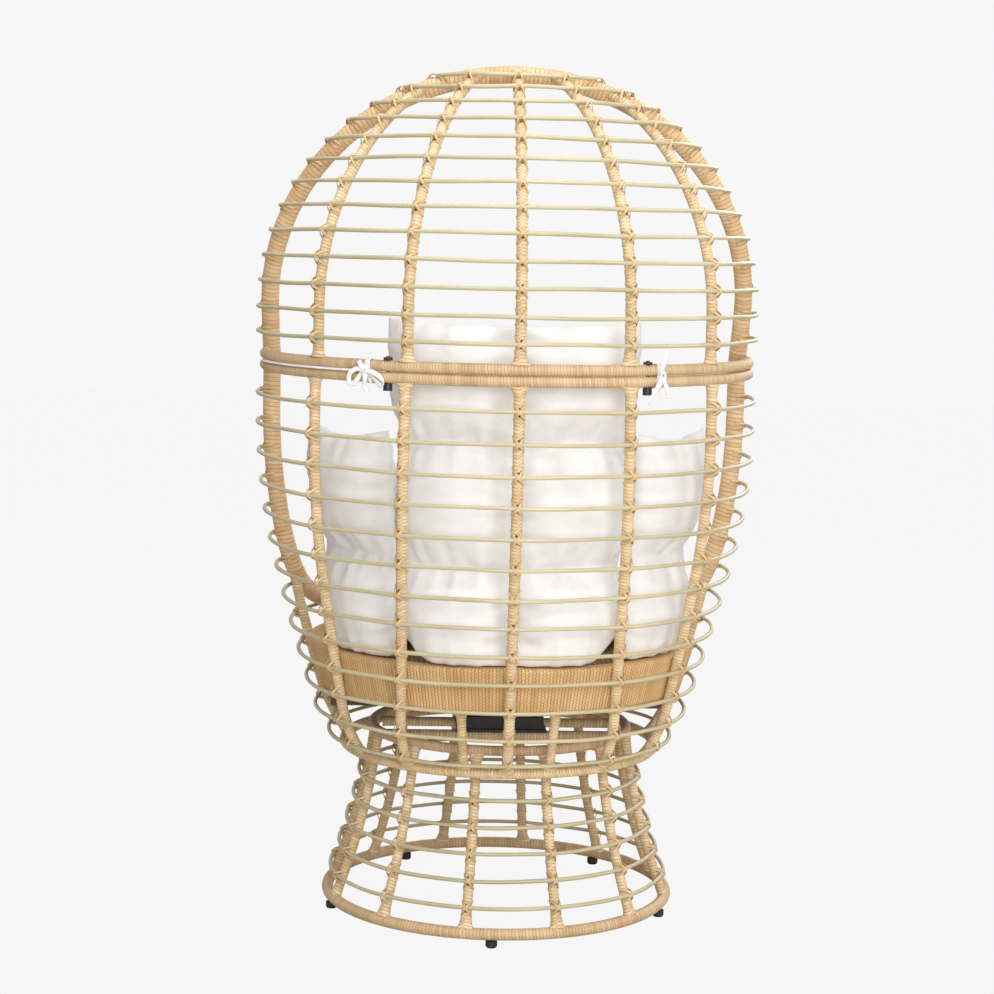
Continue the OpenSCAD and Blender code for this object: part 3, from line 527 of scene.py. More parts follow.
def wood_material(name, light, deep):
    mat, g, shader = new_material(name, Roughness=0.6)
    long = g.node("ShaderNodeMapping", {"Vector": g.place(), "Scale": (6, 60, 60)})
    grain = g.noise(long.outputs[0], 1.0, 5.0, 0.65)
    g.feed(shader, {"Base Color": g.mix(g.span(grain, 0.35, 0.65), light, deep)})
    add_bump(g, shader, grain, strength=0.2, distance=0.0006)
    return mat


RIB_MAT = wound_material(
    "wound rib resin", srgb(232, 208, 170), srgb(206, 175, 130), srgb(142, 102, 62), 0.14)
RIM_MAT = wound_material(
    "wound rim resin", srgb(230, 198, 156), srgb(204, 166, 120), srgb(140, 98, 58))
# The ring resin is a darker copy of the rib resin, partly painted shade: it is darkened to the look of the
# lower seam ring, which is shaded from above.
RING_MAT = wound_material(
    "wound ring resin", srgb(216, 188, 150), srgb(192, 160, 120), srgb(144, 106, 68), slant=0.35)
CANE_MAT = cane_material("straw cane resin", srgb(208, 199, 166), srgb(174, 161, 122))
TIE_MAT = cane_material("binding resin", srgb(222, 196, 152), srgb(196, 162, 114))
# Dark resin tones used as painted shade in the gaps beside each binding.
GAP_SHADE_MAT = cane_material("painted gap shade", srgb(86, 56, 34), srgb(44, 30, 22))
BAND_MAT = woven_band_material(
    "woven deck band", srgb(230, 194, 142), srgb(200, 158, 106), srgb(124, 84, 48))
# The top's yarn tone is darker than the band's, partly painted shade from the cushions over it, and its hole
# tone is painted shade in the holes.
LATTICE_MAT = lattice_material("woven deck top", srgb(160, 122, 84), srgb(88, 60, 38))
CLOTH_MAT = cloth_material("cushion cover", srgb(237, 236, 236), srgb(227, 225, 225))
RIBBON_MAT = cloth_material("cotton ribbon", srgb(244, 243, 242), srgb(232, 230, 228), 1400.0, 0.1)
BLACK_MAT = metal_material("black powder coat", srgb(34, 34, 36), 0.0, 0.45)
STEEL_MAT = metal_material("zinc plate", srgb(168, 168, 170), 1.0, 0.38)
RUBBER_MAT = metal_material("black glide", srgb(28, 28, 30), 0.0, 0.6, 90.0, 0.15)
BEAM_MAT = wood_material("stained beam", srgb(126, 84, 58), srgb(92, 58, 38))


# ---- Wound tubes ----------------------------------------------------------------------------------

# Lengths of one turn of strand, its slant on rings, and how a turn swells
RIB_STRAND, RIM_STRAND, RING_STRAND, SEAM_STRAND = 0.0058, 0.0075, 0.0055, 0.0052
RING_SLANT = 0.35
RIDGE, SEAM_RIDGE = 0.00035, 0.0003
RIDGE_ROUND, RIDGE_MEAN = 0.6, 0.6
PER_TURN = 4
# Flares at the ends of tubes, where ribs start and end, and tubes a little inside the solids' size
FLARE_SWELL = 0.12
END_FLARE = 0.0065
RIB_TOP, RIB_LOW = 2 * SEAM_OFF - 0.002, BOWL_LENGTH - 0.0075
SIDE_FLARE = 0.012
RIM_SKIN = RIM_R - 0.0003
RING_UNDER = 0.0001
RING_SKIN = TUBE_R - RING_UNDER


def wound_tube(path, outs_from, radius, closed=False, turn=RIB_STRAND, slant=1.0, flares=(), sides=12,
               ridge=RIDGE):
    """A tube wound with strand. Its surface swells a little at each turn, and it flares where it is bound
    in. A flare gives a distance from the start, or below zero from the end, its reach and its amount."""
    if closed:
        path = np.concatenate([path, path[:1]])
    points, at = resample(path, turn / PER_TURN)
    length = at[-1]
    if closed:
        points, at = points[:-1], at[:-1]
        turn = length / round(length / turn)
    phase = at[:, None] / turn + slant * np.arange(sides)[None, :] / sides
    swell = ridge * (np.abs(np.sin(math.pi * phase)) ** RIDGE_ROUND - RIDGE_MEAN)
    wide = np.ones(len(at))
    grow = np.zeros(len(at))
    for where, reach, amount in flares:
        near = np.exp(-np.abs(at - (where if where >= 0 else length + 1 + where)) / reach)
        wide += amount * near
        grow += FLARE_SWELL * amount * near
    radii = radius * (1 + grow[:, None]) + swell
    outs = points - np.asarray(outs_from, float)
    return strand_sweep(points, outs, radii, at / turn, wide, closed, sides)


def finish_piece(obj, body, mat, nodes=()):
    obj.data.materials.append(mat)
    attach(obj, body)
    if nodes:
        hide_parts(*nodes)
    return obj


def dress(name, pieces, body, mat, nodes=()):
    return finish_piece(joined(name, pieces), body, mat, nodes)


def wrapped(name, body, mat, nodes, *tube, **more):
    """One wound tube as an object of its own."""
    return dress(name, [wound_tube(*tube, **more)], body, mat, nodes)


def rib_line(angle, s):
    r, z, _ = bowl_at(s)
    return round_axis(r, spread(angle, z), z)


BACK_RIBS = [(i - 2) * RIB_STEP for i in range(5)]
RIB_FROM = (0, 0, SEAM_Z)

for i, angle in enumerate(BACK_RIBS):
    wrapped(f"wound_bowl_rib_{i + 1}", "pod", RIB_MAT, [f"bowl_rib_{i + 1}"],
            rib_line(angle, np.linspace(RIB_TOP, RIB_LOW, 300)), RIB_FROM, TUBE_R,
            flares=[(0, END_FLARE, 0.9), (-1, END_FLARE, 0.7)])


def under_rim_line(angle):
    """Line of a rib that starts under the rim and is tucked in behind it."""
    below, tuck, tuck_reach = 0.004, 0.006, 0.02
    near = min(abs(angle), 360 - abs(angle))
    top = float(bowl_distance(rim_height(near))) + below
    s = np.linspace(top, RIB_LOW, 160)
    r, z, _ = bowl_at(s)
    return round_axis(r - tuck * np.exp(-(s - top) / tuck_reach), angle, z)


for name, angle in (("side_rib_left", SIDE_ANGLE), ("side_rib_right", -SIDE_ANGLE),
                    ("front_rib_1", FRONT_ANGLE), ("front_rib_2", 180.0), ("front_rib_3", -FRONT_ANGLE)):
    wrapped("wound_" + name, "pod", RIB_MAT, [name], under_rim_line(angle), RIB_FROM, TUBE_R,
            flares=[(SIDE_FLARE, SIDE_FLARE, 0.7), (-1, END_FLARE, 0.7)])


def hood_rib_end(angle):
    """Distance above the seam at which a hood rib meets the rim."""
    into_rim = 0.7 * RIM_R
    turn = 0.0
    while turn < math.radians(88):
        y, z = POD_R * math.cos(turn) * math.cos(math.radians(angle)), DOME_Z + POD_R * math.sin(turn)
        gap = y - opening_y(z)
        if gap * math.cos(HOOD_LEAN) < into_rim:
            break
        turn += math.radians(0.1)
    return HOOD_STRAIGHT + POD_R * turn


HOOD_RIBS = [(i - 2) * HOOD_RIB_STEP for i in range(5)]
HOOD_END = [hood_rib_end(a) for a in HOOD_RIBS]
for i, angle in enumerate(HOOD_RIBS):
    r, z, _ = hood_at(np.linspace(RIB_TOP, HOOD_END[i], 300))
    wrapped(f"wound_hood_rib_{i + 1}", "pod", RIB_MAT, [f"hood_rib_{i + 1}"],
            round_axis(r, angle, z), RIB_FROM, TUBE_R, flares=[(0, END_FLARE, 0.9), (-1, END_FLARE, 0.5)])

for name, path, z in (("hood_rim", hood_rim_path(), DOME_Z), ("bowl_rim", bowl_rim_path(), LIP_Z)):
    wrapped("wound_" + name, "pod", RIM_MAT, [name], path, (0, 0, z), RIM_SKIN, turn=RIM_STRAND, sides=18)

RING_INTO_RIM = RIM_R - 0.003
hood_end_y = float(opening_y(SEAM_Z + SEAM_OFF)) + RING_INTO_RIM / math.cos(HOOD_LEAN)
hood_half = math.degrees(math.acos(hood_end_y / POD_R))
bowl_half = OPENING - math.degrees(RING_INTO_RIM / POD_R)
for name, z, half in (("hood_seam_ring", SEAM_Z + SEAM_OFF, hood_half),
                      ("bowl_seam_ring", SEAM_Z - SEAM_OFF, bowl_half)):
    wrapped("wound_" + name, "pod", RING_MAT, [name], round_axis(POD_R, np.linspace(-half, half, 400), z),
            (0, 0, z), SEAM_TUBE_R - RING_UNDER, turn=SEAM_STRAND, slant=RING_SLANT, ridge=SEAM_RIDGE)

WHOLE_TURN = np.linspace(0, 360, 361)[:-1]
# The pod's bottom ring takes the lighter rib resin, not the ring resin: painted light that makes up for the
# shade it sits in.
wrapped("wound_bottom_ring", "pod", RIB_MAT, ["pod_bottom_ring"], round_axis(RING_R, WHOLE_TURN, RING_Z),
        (0, 0, RING_Z), RING_SKIN, closed=True, turn=RING_STRAND, slant=RING_SLANT)


# ---- Canes ----------------------------------------------------------------------------------------

# Distances of the canes from the seam, and how far their ends pass the rim
CANES = 13
HOOD_CANE_FIRST, HOOD_CANE_STEP = 0.05, 0.0435
BOWL_CANE_FIRST, BOWL_CANE_STEP = 0.058, 0.0514
CANE_PAST_RIM = 0.0045
HOOD_CANE_PAST = 0.1 * CANE_PAST_RIM
# Degrees between points, lean between ribs, waves, and the bend of a cut end
CANE_POINT_STEP = 1.3
CANE_LEAN_IN = 0.0016
CANE_WAVE, BASE_CANE_WAVE = 0.0007, 0.0005
TIP_TURN, TIP_IN, TIP_THIN = 2.6, 0.005, 0.3
NEARLY_WHOLE = 175


def cane_strand(radius, z, first, last, ribs, closed=False, wave=CANE_WAVE):
    """A cane round the axis. It leans in a little between the ribs it is bound to, and its cut ends are
    drawn in onto the rim."""
    count = max(int(abs(last - first) / CANE_POINT_STEP), 8)
    a = np.linspace(first, last, count + 1)
    if closed:
        a = a[:-1]
    phase = rng.uniform(0, 2 * math.pi, 4)
    t = np.radians(a)
    slow, middle, quick = np.sin(3 * t + phase[0]), np.sin(7 * t + phase[1]), np.sin(12 * t + phase[2])
    lift = wave * (slow + 0.7 * middle + 0.5 * quick)
    lean = np.zeros(len(a))
    for low, high in zip(ribs[:-1], ribs[1:]):
        inside = (a > low) & (a < high)
        lean[inside] += CANE_LEAN_IN * np.sin(math.pi * (a[inside] - low) / (high - low)) ** 2
    path = round_axis(radius - lean, a, z + lift)
    bend = np.zeros(len(a))
    if not closed:
        bend = np.clip((np.abs(a) - (last - TIP_TURN)) / TIP_TURN, 0, 1) ** 1.5
        path[:, :2] *= (1 - TIP_IN / radius * bend[:, None])
    size = CANE_R * (1 + 0.05 * np.sin(5 * t + phase[3])) * (1 - TIP_THIN * bend)
    outs = path * (1, 1, 0)
    return strand_sweep(path, outs, size[:, None], radius * t, None, closed, 10, first=rng.uniform(0, 6))


hood_canes, HOOD_CROSS = [], []
for i in range(CANES):
    s = HOOD_CANE_FIRST + HOOD_CANE_STEP * i
    r, z, turn = (float(v) for v in hood_at(s))
    rc, zc = r + BOUND_OUT * math.cos(turn), z + BOUND_OUT * math.sin(turn)
    half = math.degrees(math.acos(min(float(opening_y(zc)) / rc, 1))) + math.degrees(HOOD_CANE_PAST / rc)
    inner = [a for a in HOOD_RIBS if abs(a) < half - 3]
    hood_canes.append(cane_strand(rc, zc, -half, half, [-half] + inner + [half]))
    HOOD_CROSS.append((s, zc))
bowl_canes, BOWL_CROSS = [], []
for i in range(CANES):
    s = BOWL_CANE_FIRST + BOWL_CANE_STEP * i
    r, z, slope = (float(v) for v in bowl_at(s))
    rc, zc = r + BOUND_OUT * math.cos(slope), z - BOUND_OUT * math.sin(slope)
    half = float(rim_degrees(zc)) + math.degrees(CANE_PAST_RIM / rc)
    whole = zc <= LIP_Z + CANE_R or half > NEARLY_WHOLE
    backs = [float(spread(a, z)) for a in BACK_RIBS]
    if whole:
        ribs = [-180, -FRONT_ANGLE, -SIDE_ANGLE] + backs + [SIDE_ANGLE, FRONT_ANGLE, 180]
        bowl_canes.append(cane_strand(rc, zc, -180, 180, ribs, True))
    else:
        side = [SIDE_ANGLE] if half > SIDE_ANGLE + 4 else []
        ribs = [-half] + [-a for a in side] + backs + side + [half]
        bowl_canes.append(cane_strand(rc, zc, -half, half, ribs))
    BOWL_CROSS.append((s, whole))
for name, made in (("hood_canes", hood_canes), ("bowl_canes", bowl_canes)):
    dress("bound_" + name, made, "pod", CANE_MAT, [name])


# ---- Bindings where a cane crosses a tube ---------------------------------------------------------

# Crossed strands: thickness, jitter, height over the cane and length along the tube, how they lie on the
# rims, and how far from a rib's end the last crossing is
STRAND_THICK = 0.0013
STRAND_JITTER = 0.0006
STRAND_OVER, STRAND_STACK = 0.0006, 0.0008
STRAND_ALONG = 0.0088
RIM_CROSSING = {"reach": 0.45, "width": 0.0044, "back": 0.2}
RIB_END_CLEAR, FRONT_RIB_CLEAR = 0.012, 0.03
# Painted shade in the gaps, as dark pieces: half width, distance from the cane, lengths, lean, and how often
# each side has one
GAP_WIDE, GAP_NEAR, GAP_LONG, GAP_LEAN = 0.0024, 0.0042, (0.0028, 0.0046), 0.0008
GAP_DEPTHS = (-0.0015, 0.0009)
GAP_CHANCES = ((-1, 0.95), (1, 0.7))


def smooth_line(points, count):
    """A smooth curve through a few points."""
    p = np.concatenate([[2 * points[0] - points[1]], points, [2 * points[-1] - points[-2]]])
    out = []
    per = max(int(round(count / (len(points) - 1))), 1)
    for i in range(1, len(p) - 2):
        for t in np.arange(per) / per:
            out.append(0.5 * (2 * p[i] + (p[i + 1] - p[i - 1]) * t
                              + (2 * p[i - 1] - 5 * p[i] + 4 * p[i + 1] - p[i + 2]) * t ** 2
                              + (3 * p[i] - p[i - 1] - 3 * p[i + 1] + p[i + 2]) * t ** 3))
    out.append(points[-1])
    return np.array(out)


def path_length(path):
    return float(np.linalg.norm(np.diff(path, axis=0), axis=1).sum())


def flat_strand(path, outs, width, thickness, run=0.0):
    """A flat strand with rounded edges, lying with its face along outs."""
    tangent = unit(np.gradient(path, axis=0))
    out = unit(outs - (outs * tangent).sum(1, keepdims=True) * tangent)
    side = np.cross(tangent, out)
    shape = np.array([(0.5, 0), (0.36, 0.5), (0, 0.62), (-0.36, 0.5), (-0.5, 0), (-0.36, -0.4), (0.36, -0.4)])
    verts = (path[:, None, :] + (shape[:, 0] * width)[None, :, None] * side[:, None, :]
             + (shape[:, 1] * thickness)[None, :, None] * out[:, None, :])
    n, sides = len(path), len(shape)
    faces = grid_faces(n, sides, False) + end_faces(n, sides)
    gaps = np.concatenate([[0], np.cumsum(np.linalg.norm(np.diff(path, axis=0), axis=1))]) + run
    uv = np.stack(np.broadcast_arrays(gaps[:, None], np.linspace(0, 1, sides)[None, :]), axis=-1)
    return verts.reshape(-1, 3), faces, uv.reshape(-1, 2)


def crossing(centre, out, along, across, tube, top, reach=1.4, width=0.0046, back=0.35):
    """Two flat strands crossed over a cane and round the tube behind it. reach stretches them along the
    tube, and back says how far behind its middle they go, as a share of its radius."""
    made = []
    for k, way in enumerate((1, -1)):
        shift, turned = rng.uniform(-STRAND_JITTER, STRAND_JITTER, 2)
        over = STRAND_OVER + STRAND_STACK * k
        half = [(0.0, 0.0, top + over), (0.30, 0.22, top - 0.0004 + over), (0.58, 0.50, top * 0.80),
                (0.88, 0.80, tube * 0.62), (1.06, 0.98, tube * 0.05), (0.98, 1.08, -tube * back)]
        points = [(-x, -y, n) for x, y, n in half[:0:-1]] + half
        local = np.array([
            (x * tube, way * y * STRAND_ALONG * reach + shift * (1 if x > 0 else -1) + turned * 0.5, n)
            for x, y, n in points])
        line = smooth_line(local, 20)
        path = centre + line[:, :1] * across + line[:, 1:2] * along + line[:, 2:] * out
        face = line[:, :1] * across + np.maximum(line[:, 2:], 0.001) * out
        made.append(flat_strand(path, face, width, STRAND_THICK, rng.uniform(0, 5)))
    return made


def painted_gap_shade(centre, out, along, across, tube, reach=1.15):
    """Painted shade: small dark pieces set in the gaps that the crossed strands leave on the tube beside a
    cane, where there is only shade.
    """
    made = []
    for way, chance in GAP_CHANCES:
        if rng.random() > chance:
            continue
        wide, near = GAP_WIDE * rng.uniform(0.7, 1.2), GAP_NEAR * reach
        far = near + rng.uniform(*GAP_LONG)
        lean = rng.uniform(-GAP_LEAN, GAP_LEAN)
        local = np.array([(-wide, way * near), (wide, way * near), (lean, way * far)])
        deep = np.sqrt(np.maximum(tube ** 2 - local[:, 0] ** 2, 0))
        rows = [centre + local[:, :1] * across + local[:, 1:] * along + (deep + n)[:, None] * out
                for n in GAP_DEPTHS]
        faces = [(0, 2, 1), (3, 4, 5), (0, 1, 4, 3), (1, 2, 5, 4), (2, 0, 3, 5)]
        if way > 0:
            faces = [f[::-1] for f in faces]
        made.append((np.concatenate(rows), faces, np.zeros((6, 2))))
    return made


def pod_frame(angle, r, z, tilt):
    """Centre, outward, along and across directions of a rib, where tilt leans outward up from level."""
    a = math.radians(angle)
    level = np.array((math.sin(a), math.cos(a), 0))
    up = np.array((0, 0, 1.0))
    out = level * math.cos(tilt) + up * math.sin(tilt)
    along = -level * math.sin(tilt) + up * math.cos(tilt)
    across = np.array((math.cos(a), -math.sin(a), 0))
    return r * level + z * up, out, along, across


def bind(place, tube, top, strands, gaps):
    """A binding on a rib."""
    strands += crossing(*place, tube, top)
    # Dark pieces of painted shade in the gaps beside the crossed strands.
    gaps += painted_gap_shade(*place, tube)


def bind_rim(half, height, middle, strands, gaps):
    """Bindings on both sides of the rim, where its line passes a height. Outward is away from a point on
    the axis at the height of middle."""
    order = np.argsort(half[:, 2])
    centre = np.array([np.interp(height, half[order, 2], half[order, k]) for k in range(3)])
    near = int(np.argmin(np.abs(half[:, 2] - height)))
    near = min(max(near, 1), len(half) - 2)
    along = unit(half[near - 1] - half[near + 1])
    for way in (1, -1):
        flip = np.array((way, 1, 1.0))
        spot, line = centre * flip, along * flip
        out = spot - (0, 0, middle)
        out = unit(out - (out @ line) * line)
        level = unit(np.array((-spot[1], spot[0], 0.0)))
        level = unit(level - (level @ out) * out)
        square = np.cross(line, out)
        slant = level @ square
        level = level / (np.sign(slant) * max(abs(slant), 0.5))
        strands += crossing(spot, out, line, level, RIM_R * 1.02, RIM_R + CANE_R + 0.0012, **RIM_CROSSING)
        # Dark pieces of painted shade in the gaps beside the crossed strands on the rim.
        gaps += painted_gap_shade(spot, out, line, square, RIM_R, 0.9)


def right_half(path):
    return path[len(path) // 2:]


HOOD_RIM_HALF = right_half(hood_rim_path())
BOWL_RIM_HALF = right_half(bowl_rim_path())[::-1]
TOP_OF_CANE = BOUND_OUT + CANE_R
bindings, gaps = [], []
for s, zc in HOOD_CROSS:
    r, z, turn = (float(v) for v in hood_at(s))
    for i, angle in enumerate(HOOD_RIBS):
        if s < HOOD_END[i] - RIB_END_CLEAR:
            bind(pod_frame(angle, r, z, turn), TUBE_R, TOP_OF_CANE, bindings, gaps)
    rim_z = zc if turn == 0 else DOME_Z + (POD_R - RIM_IN) * math.sin(turn)
    bind_rim(HOOD_RIM_HALF, rim_z, DOME_Z if turn > 0 else rim_z, bindings, gaps)
for s, whole in BOWL_CROSS:
    r, z, slope = (float(v) for v in bowl_at(s))
    backs = [float(spread(a, z)) for a in BACK_RIBS]
    fronts = [a for a in (SIDE_ANGLE, -SIDE_ANGLE, FRONT_ANGLE, -FRONT_ANGLE, 180.0)
              if z < float(rim_height(abs(a))) - FRONT_RIB_CLEAR]
    for angle in backs + fronts:
        bind(pod_frame(angle, r, z, -slope), TUBE_R, TOP_OF_CANE, bindings, gaps)
    if not whole:
        bind_rim(BOWL_RIM_HALF, z, z, bindings, gaps)
dress("pod_bindings", bindings, "pod", TIE_MAT)
# The dark pieces here are painted shade in the binding gaps.
dress("pod_binding_gap_shades", gaps, "pod", GAP_SHADE_MAT)


# ---- Base -----------------------------------------------------------------------------------------

# Angles in degrees, distances of canes up the ribs, and places of the cross bars
BASE_RIBS, BASE_RIB_FIRST = 12, 72.5
BASE_CANES, BASE_CANE_FIRST, BASE_CANE_STEP = 5, 0.041, 0.046
BASE_TUBE_R = TUBE_R - 0.0005
BASE_RIB_CUT = 0.006
BASE_RIB_FLARES = [(0, 0.009, 0.9), (-1, 0.008, 0.8)]
BAR_Y, BAR_END = 0.055, 0.2109
BAR_R = TUBE_R - 0.0002
BAR_FLARES = [(0, 0.008, 0.6), (-1, 0.008, 0.6)]

run_in, rise = BASE_RING_R - BASE_TOP_R, BASE_TOP_Z - BASE_RING_Z
chord = math.hypot(run_in, rise)
bend_r = chord ** 2 / (8 * BASE_WAIST) + BASE_WAIST / 2
lean = math.atan2(run_in, rise)
half_turn = math.asin(chord / 2 / bend_r)
bend_x = (BASE_RING_R + BASE_TOP_R) / 2 + (bend_r - BASE_WAIST) * math.cos(lean)
bend_z = (BASE_RING_Z + BASE_TOP_Z) / 2 + (bend_r - BASE_WAIST) * math.sin(lean)
base_length = 2 * half_turn * bend_r


def base_at(s, out=0.0):
    """Radius, height and angle of a base rib at distance s up from the bottom ring, out from its middle."""
    a = math.pi + lean + half_turn - np.asarray(s, float) / bend_r
    return bend_x + (bend_r - out) * np.cos(a), bend_z + (bend_r - out) * np.sin(a), a


for name, r, z, tube in (("bottom", BASE_RING_R, BASE_RING_Z, BASE_FOOT_R - RING_UNDER),
                         ("top", BASE_TOP_R, BASE_TOP_Z, RING_SKIN)):
    wrapped(f"wound_base_{name}_ring", "base", RING_MAT, [f"base_{name}_ring"],
            round_axis(r, WHOLE_TURN, z), (0, 0, z), tube, closed=True, slant=RING_SLANT)
base_ribs, base_canes, base_bindings, base_gap_shades = [], [], [], []
base_turns = [BASE_RIB_FIRST - 360 / BASE_RIBS * k for k in range(BASE_RIBS)]
for angle in base_turns:
    r, z, _ = base_at(np.linspace(BASE_RIB_CUT, base_length - BASE_RIB_CUT, 120))
    base_ribs.append(wound_tube(round_axis(r, angle, z), (0, 0, 0.17), BASE_TUBE_R, flares=BASE_RIB_FLARES))
dress("wound_base_ribs", base_ribs, "base", RIB_MAT, ["base_ribs"])
base_order = sorted((t + 180) % 360 - 180 for t in base_turns)
for i in range(BASE_CANES):
    s = BASE_CANE_FIRST + BASE_CANE_STEP * i
    r, z, a = (float(v) for v in base_at(s))
    rc, zc, _ = (float(v) for v in base_at(s, TUBE_R + CANE_R))
    base_canes.append(cane_strand(rc, zc, -180, 180, base_order, True, BASE_CANE_WAVE))
    for angle in base_turns:
        spot = pod_frame(angle, r, z, a - math.pi)
        bind(spot, BASE_TUBE_R, TOP_OF_CANE - CANE_GAP, base_bindings, base_gap_shades)
dress("bound_base_canes", base_canes, "base", CANE_MAT, ["base_canes"])
dress("base_bindings", base_bindings, "base", TIE_MAT)
# The dark pieces here are painted shade in the binding gaps.
dress("base_binding_gap_shades", base_gap_shades, "base", GAP_SHADE_MAT)


# ---- Deck -----------------------------------------------------------------------------------------

DECK_SKIN = 0.0095
DECK_LOW_R = float(bowl_radius(DECK_Z)) - DECK_SKIN
DECK_HIGH_R = float(bowl_radius(DECK_TOP)) - DECK_SKIN
DECK_TALL = DECK_TOP - DECK_Z
# Upright yarns of the band and their turns, and the yarns of the top per metre
YARNS_ROUND, POINTS_PER_YARN = 360, 4
YARN_RIDGE, YARN_ROUND, YARN_MEAN = 0.0009, 0.7, 0.8
BAND_TURNS = 14
LATTICE_YARNS = 120
TOP_SUNK, TOP_IN = 0.0009, 0.012
# The rim under the band, and the angle of the struts from the middle of back and front
LOW_RIM_R, LOW_RIM_IN = 0.0085, 0.0075
STRUT_ANGLE, STRUT_R = 15.1, TUBE_R - 0.001
STRUT_FLARES = [(0, 0.006, 0.7), (-1, 0.006, 0.5)]


def deck_band():
    """The woven band of the deck: upright yarns over a rolled lower edge, turned over onto the top."""
    profile = [(DECK_LOW_R - 0.006, DECK_Z + 0.004), (DECK_LOW_R - 0.004, DECK_Z + 0.0008),
               (DECK_LOW_R - 0.001, DECK_Z)]
    for h in np.linspace(0.012, DECK_TALL - 0.006, 9):
        profile.append((DECK_LOW_R + (DECK_HIGH_R - DECK_LOW_R) * h / DECK_TALL - 0.0008, DECK_Z + h))
    profile += [(DECK_HIGH_R - 0.0022, DECK_TOP - 0.0022), (DECK_HIGH_R - 0.007, DECK_TOP - 0.0003),
                (DECK_HIGH_R - 0.03, DECK_TOP - 0.0003)]
    profile = np.array(profile)
    rows, sides = len(profile), YARNS_ROUND * POINTS_PER_YARN
    turn = 2 * math.pi * np.arange(sides) / sides
    ridge = YARN_RIDGE * (np.abs(np.sin(YARNS_ROUND * turn / 2)) ** YARN_ROUND - YARN_MEAN)
    hold = np.ones(rows)
    hold[0] = hold[-1] = 0.0
    r = profile[:, 0][:, None] + ridge[None, :] * hold[:, None]
    height = profile[:, 1][:, None]
    verts = np.stack([r * np.sin(turn), r * np.cos(turn), np.broadcast_to(height, r.shape)], axis=-1)
    yarn = YARNS_ROUND * turn[None, :] / (2 * math.pi)
    uv = np.stack(np.broadcast_arrays(yarn, (height - DECK_Z) * BAND_TURNS), axis=-1)
    faces = [(a + sides, b + sides, b, a) for i in range(rows - 1)
             for a, b in ((i * sides + k, i * sides + (k + 1) % sides) for k in range(sides))]
    return verts.reshape(-1, 3), faces, uv.reshape(-1, 2)


def deck_top_face():
    """The flat woven top, a little lower than the band's rolled edge."""
    rings, sides, reach = 14, 120, DECK_HIGH_R - TOP_IN
    verts, faces = [(0.0, 0.0, DECK_TOP - TOP_SUNK)], []
    for i in range(1, rings + 1):
        r = reach * i / rings
        for k in range(sides):
            a = 2 * math.pi * k / sides
            verts.append((r * math.sin(a), r * math.cos(a), DECK_TOP - TOP_SUNK))
    for k in range(sides):
        faces.append((0, 1 + (k + 1) % sides, 1 + k))
        for i in range(rings - 1):
            a, b = 1 + i * sides + k, 1 + i * sides + (k + 1) % sides
            faces.append((a, b, b + sides, a + sides))
    verts = np.array(verts)
    return verts, faces, verts[:, :2] * LATTICE_YARNS


dress("deck_band", [deck_band()], "pod", BAND_MAT, ["deck_weave"])
dress("deck_top", [deck_top_face()], "pod", LATTICE_MAT)
low_rim = round_axis(DECK_LOW_R - LOW_RIM_IN, WHOLE_TURN, DECK_Z + LOW_RIM_R)
wrapped("deck_lower_rim", "pod", RING_MAT, ["deck_frame"], low_rim, (0, 0, DECK_Z), LOW_RIM_R,
        closed=True, turn=RING_STRAND, slant=RING_SLANT)

struts = []
for angle in (-STRUT_ANGLE, STRUT_ANGLE, 180 - STRUT_ANGLE, 180 + STRUT_ANGLE):
    z = np.linspace(RING_Z + TUBE_R - 0.002, DECK_Z - 0.0003, 60)
    share = (z - z[0]) / (z[-1] - z[0])
    r = RING_R + (DECK_LOW_R - 2 * TUBE_R - RING_R) * share
    struts.append(wound_tube(round_axis(r, angle, z), (0, 0, 0.35), STRUT_R, flares=STRUT_FLARES))
dress("wound_skirt_struts", struts, "pod", RIB_MAT, ["skirt_struts"])


# ---- Cushions -------------------------------------------------------------------------------------

# Leans outward, side angles in degrees, heights of channels and tops, and reach of the seat
BACK_LEAN, WING_LEAN = 0.05, 0.12
BACK_EDGE, HEAD_EDGE = 35.3, 39.6
HEAD_Z, LOW_ROW_Z, BACK_TOP = 0.8485, 0.648, 1.064
WING_TOP, WING_ROW = 0.876, 0.46
WING_LOW_EDGE, WING_HIGH_EDGE = 36.3, 73.5
SEAT_BACK, SEAT_FRONT = 0.233, 0.326
SEAT_SIDE, SEAT_BLEND = 74, 24
# Where cushions stand, the size of a cell of cloth, and how deep channels are drawn
CUSHION_LOW = DECK_TOP - 0.003
CUSHION_R = float(bowl_radius(DECK_TOP)) - TUBE_R - 0.003
CELL, SEAT_CELL = 0.0095, 0.0105
DRAWN_IN, SEAT_DRAWN_IN = 0.0015, 0.012
# How cloth is pressed flat against the cage and deck, how near it lies, and where the head clears the wings
PRESSED_ROUND, CAGE_GAP, DECK_GAP, HEAD_CLEAR = 0.006, 0.001, 0.0006, 0.004
# Shape of a puff, reach and size of the gathers beside a seam, and how the covers are blown up
PUFF_ROUND = 0.6
GATHER_REACH, GATHER_SIZE = 0.022, 0.003
SEWN = 1e-6
PUFF_FRAMES, PUFF_PRESSURE, COVER_GROWS = 20, 1.8, -0.03


def ease(t):
    t = np.clip(t, 0, 1)
    return t * t * (3 - 2 * t)


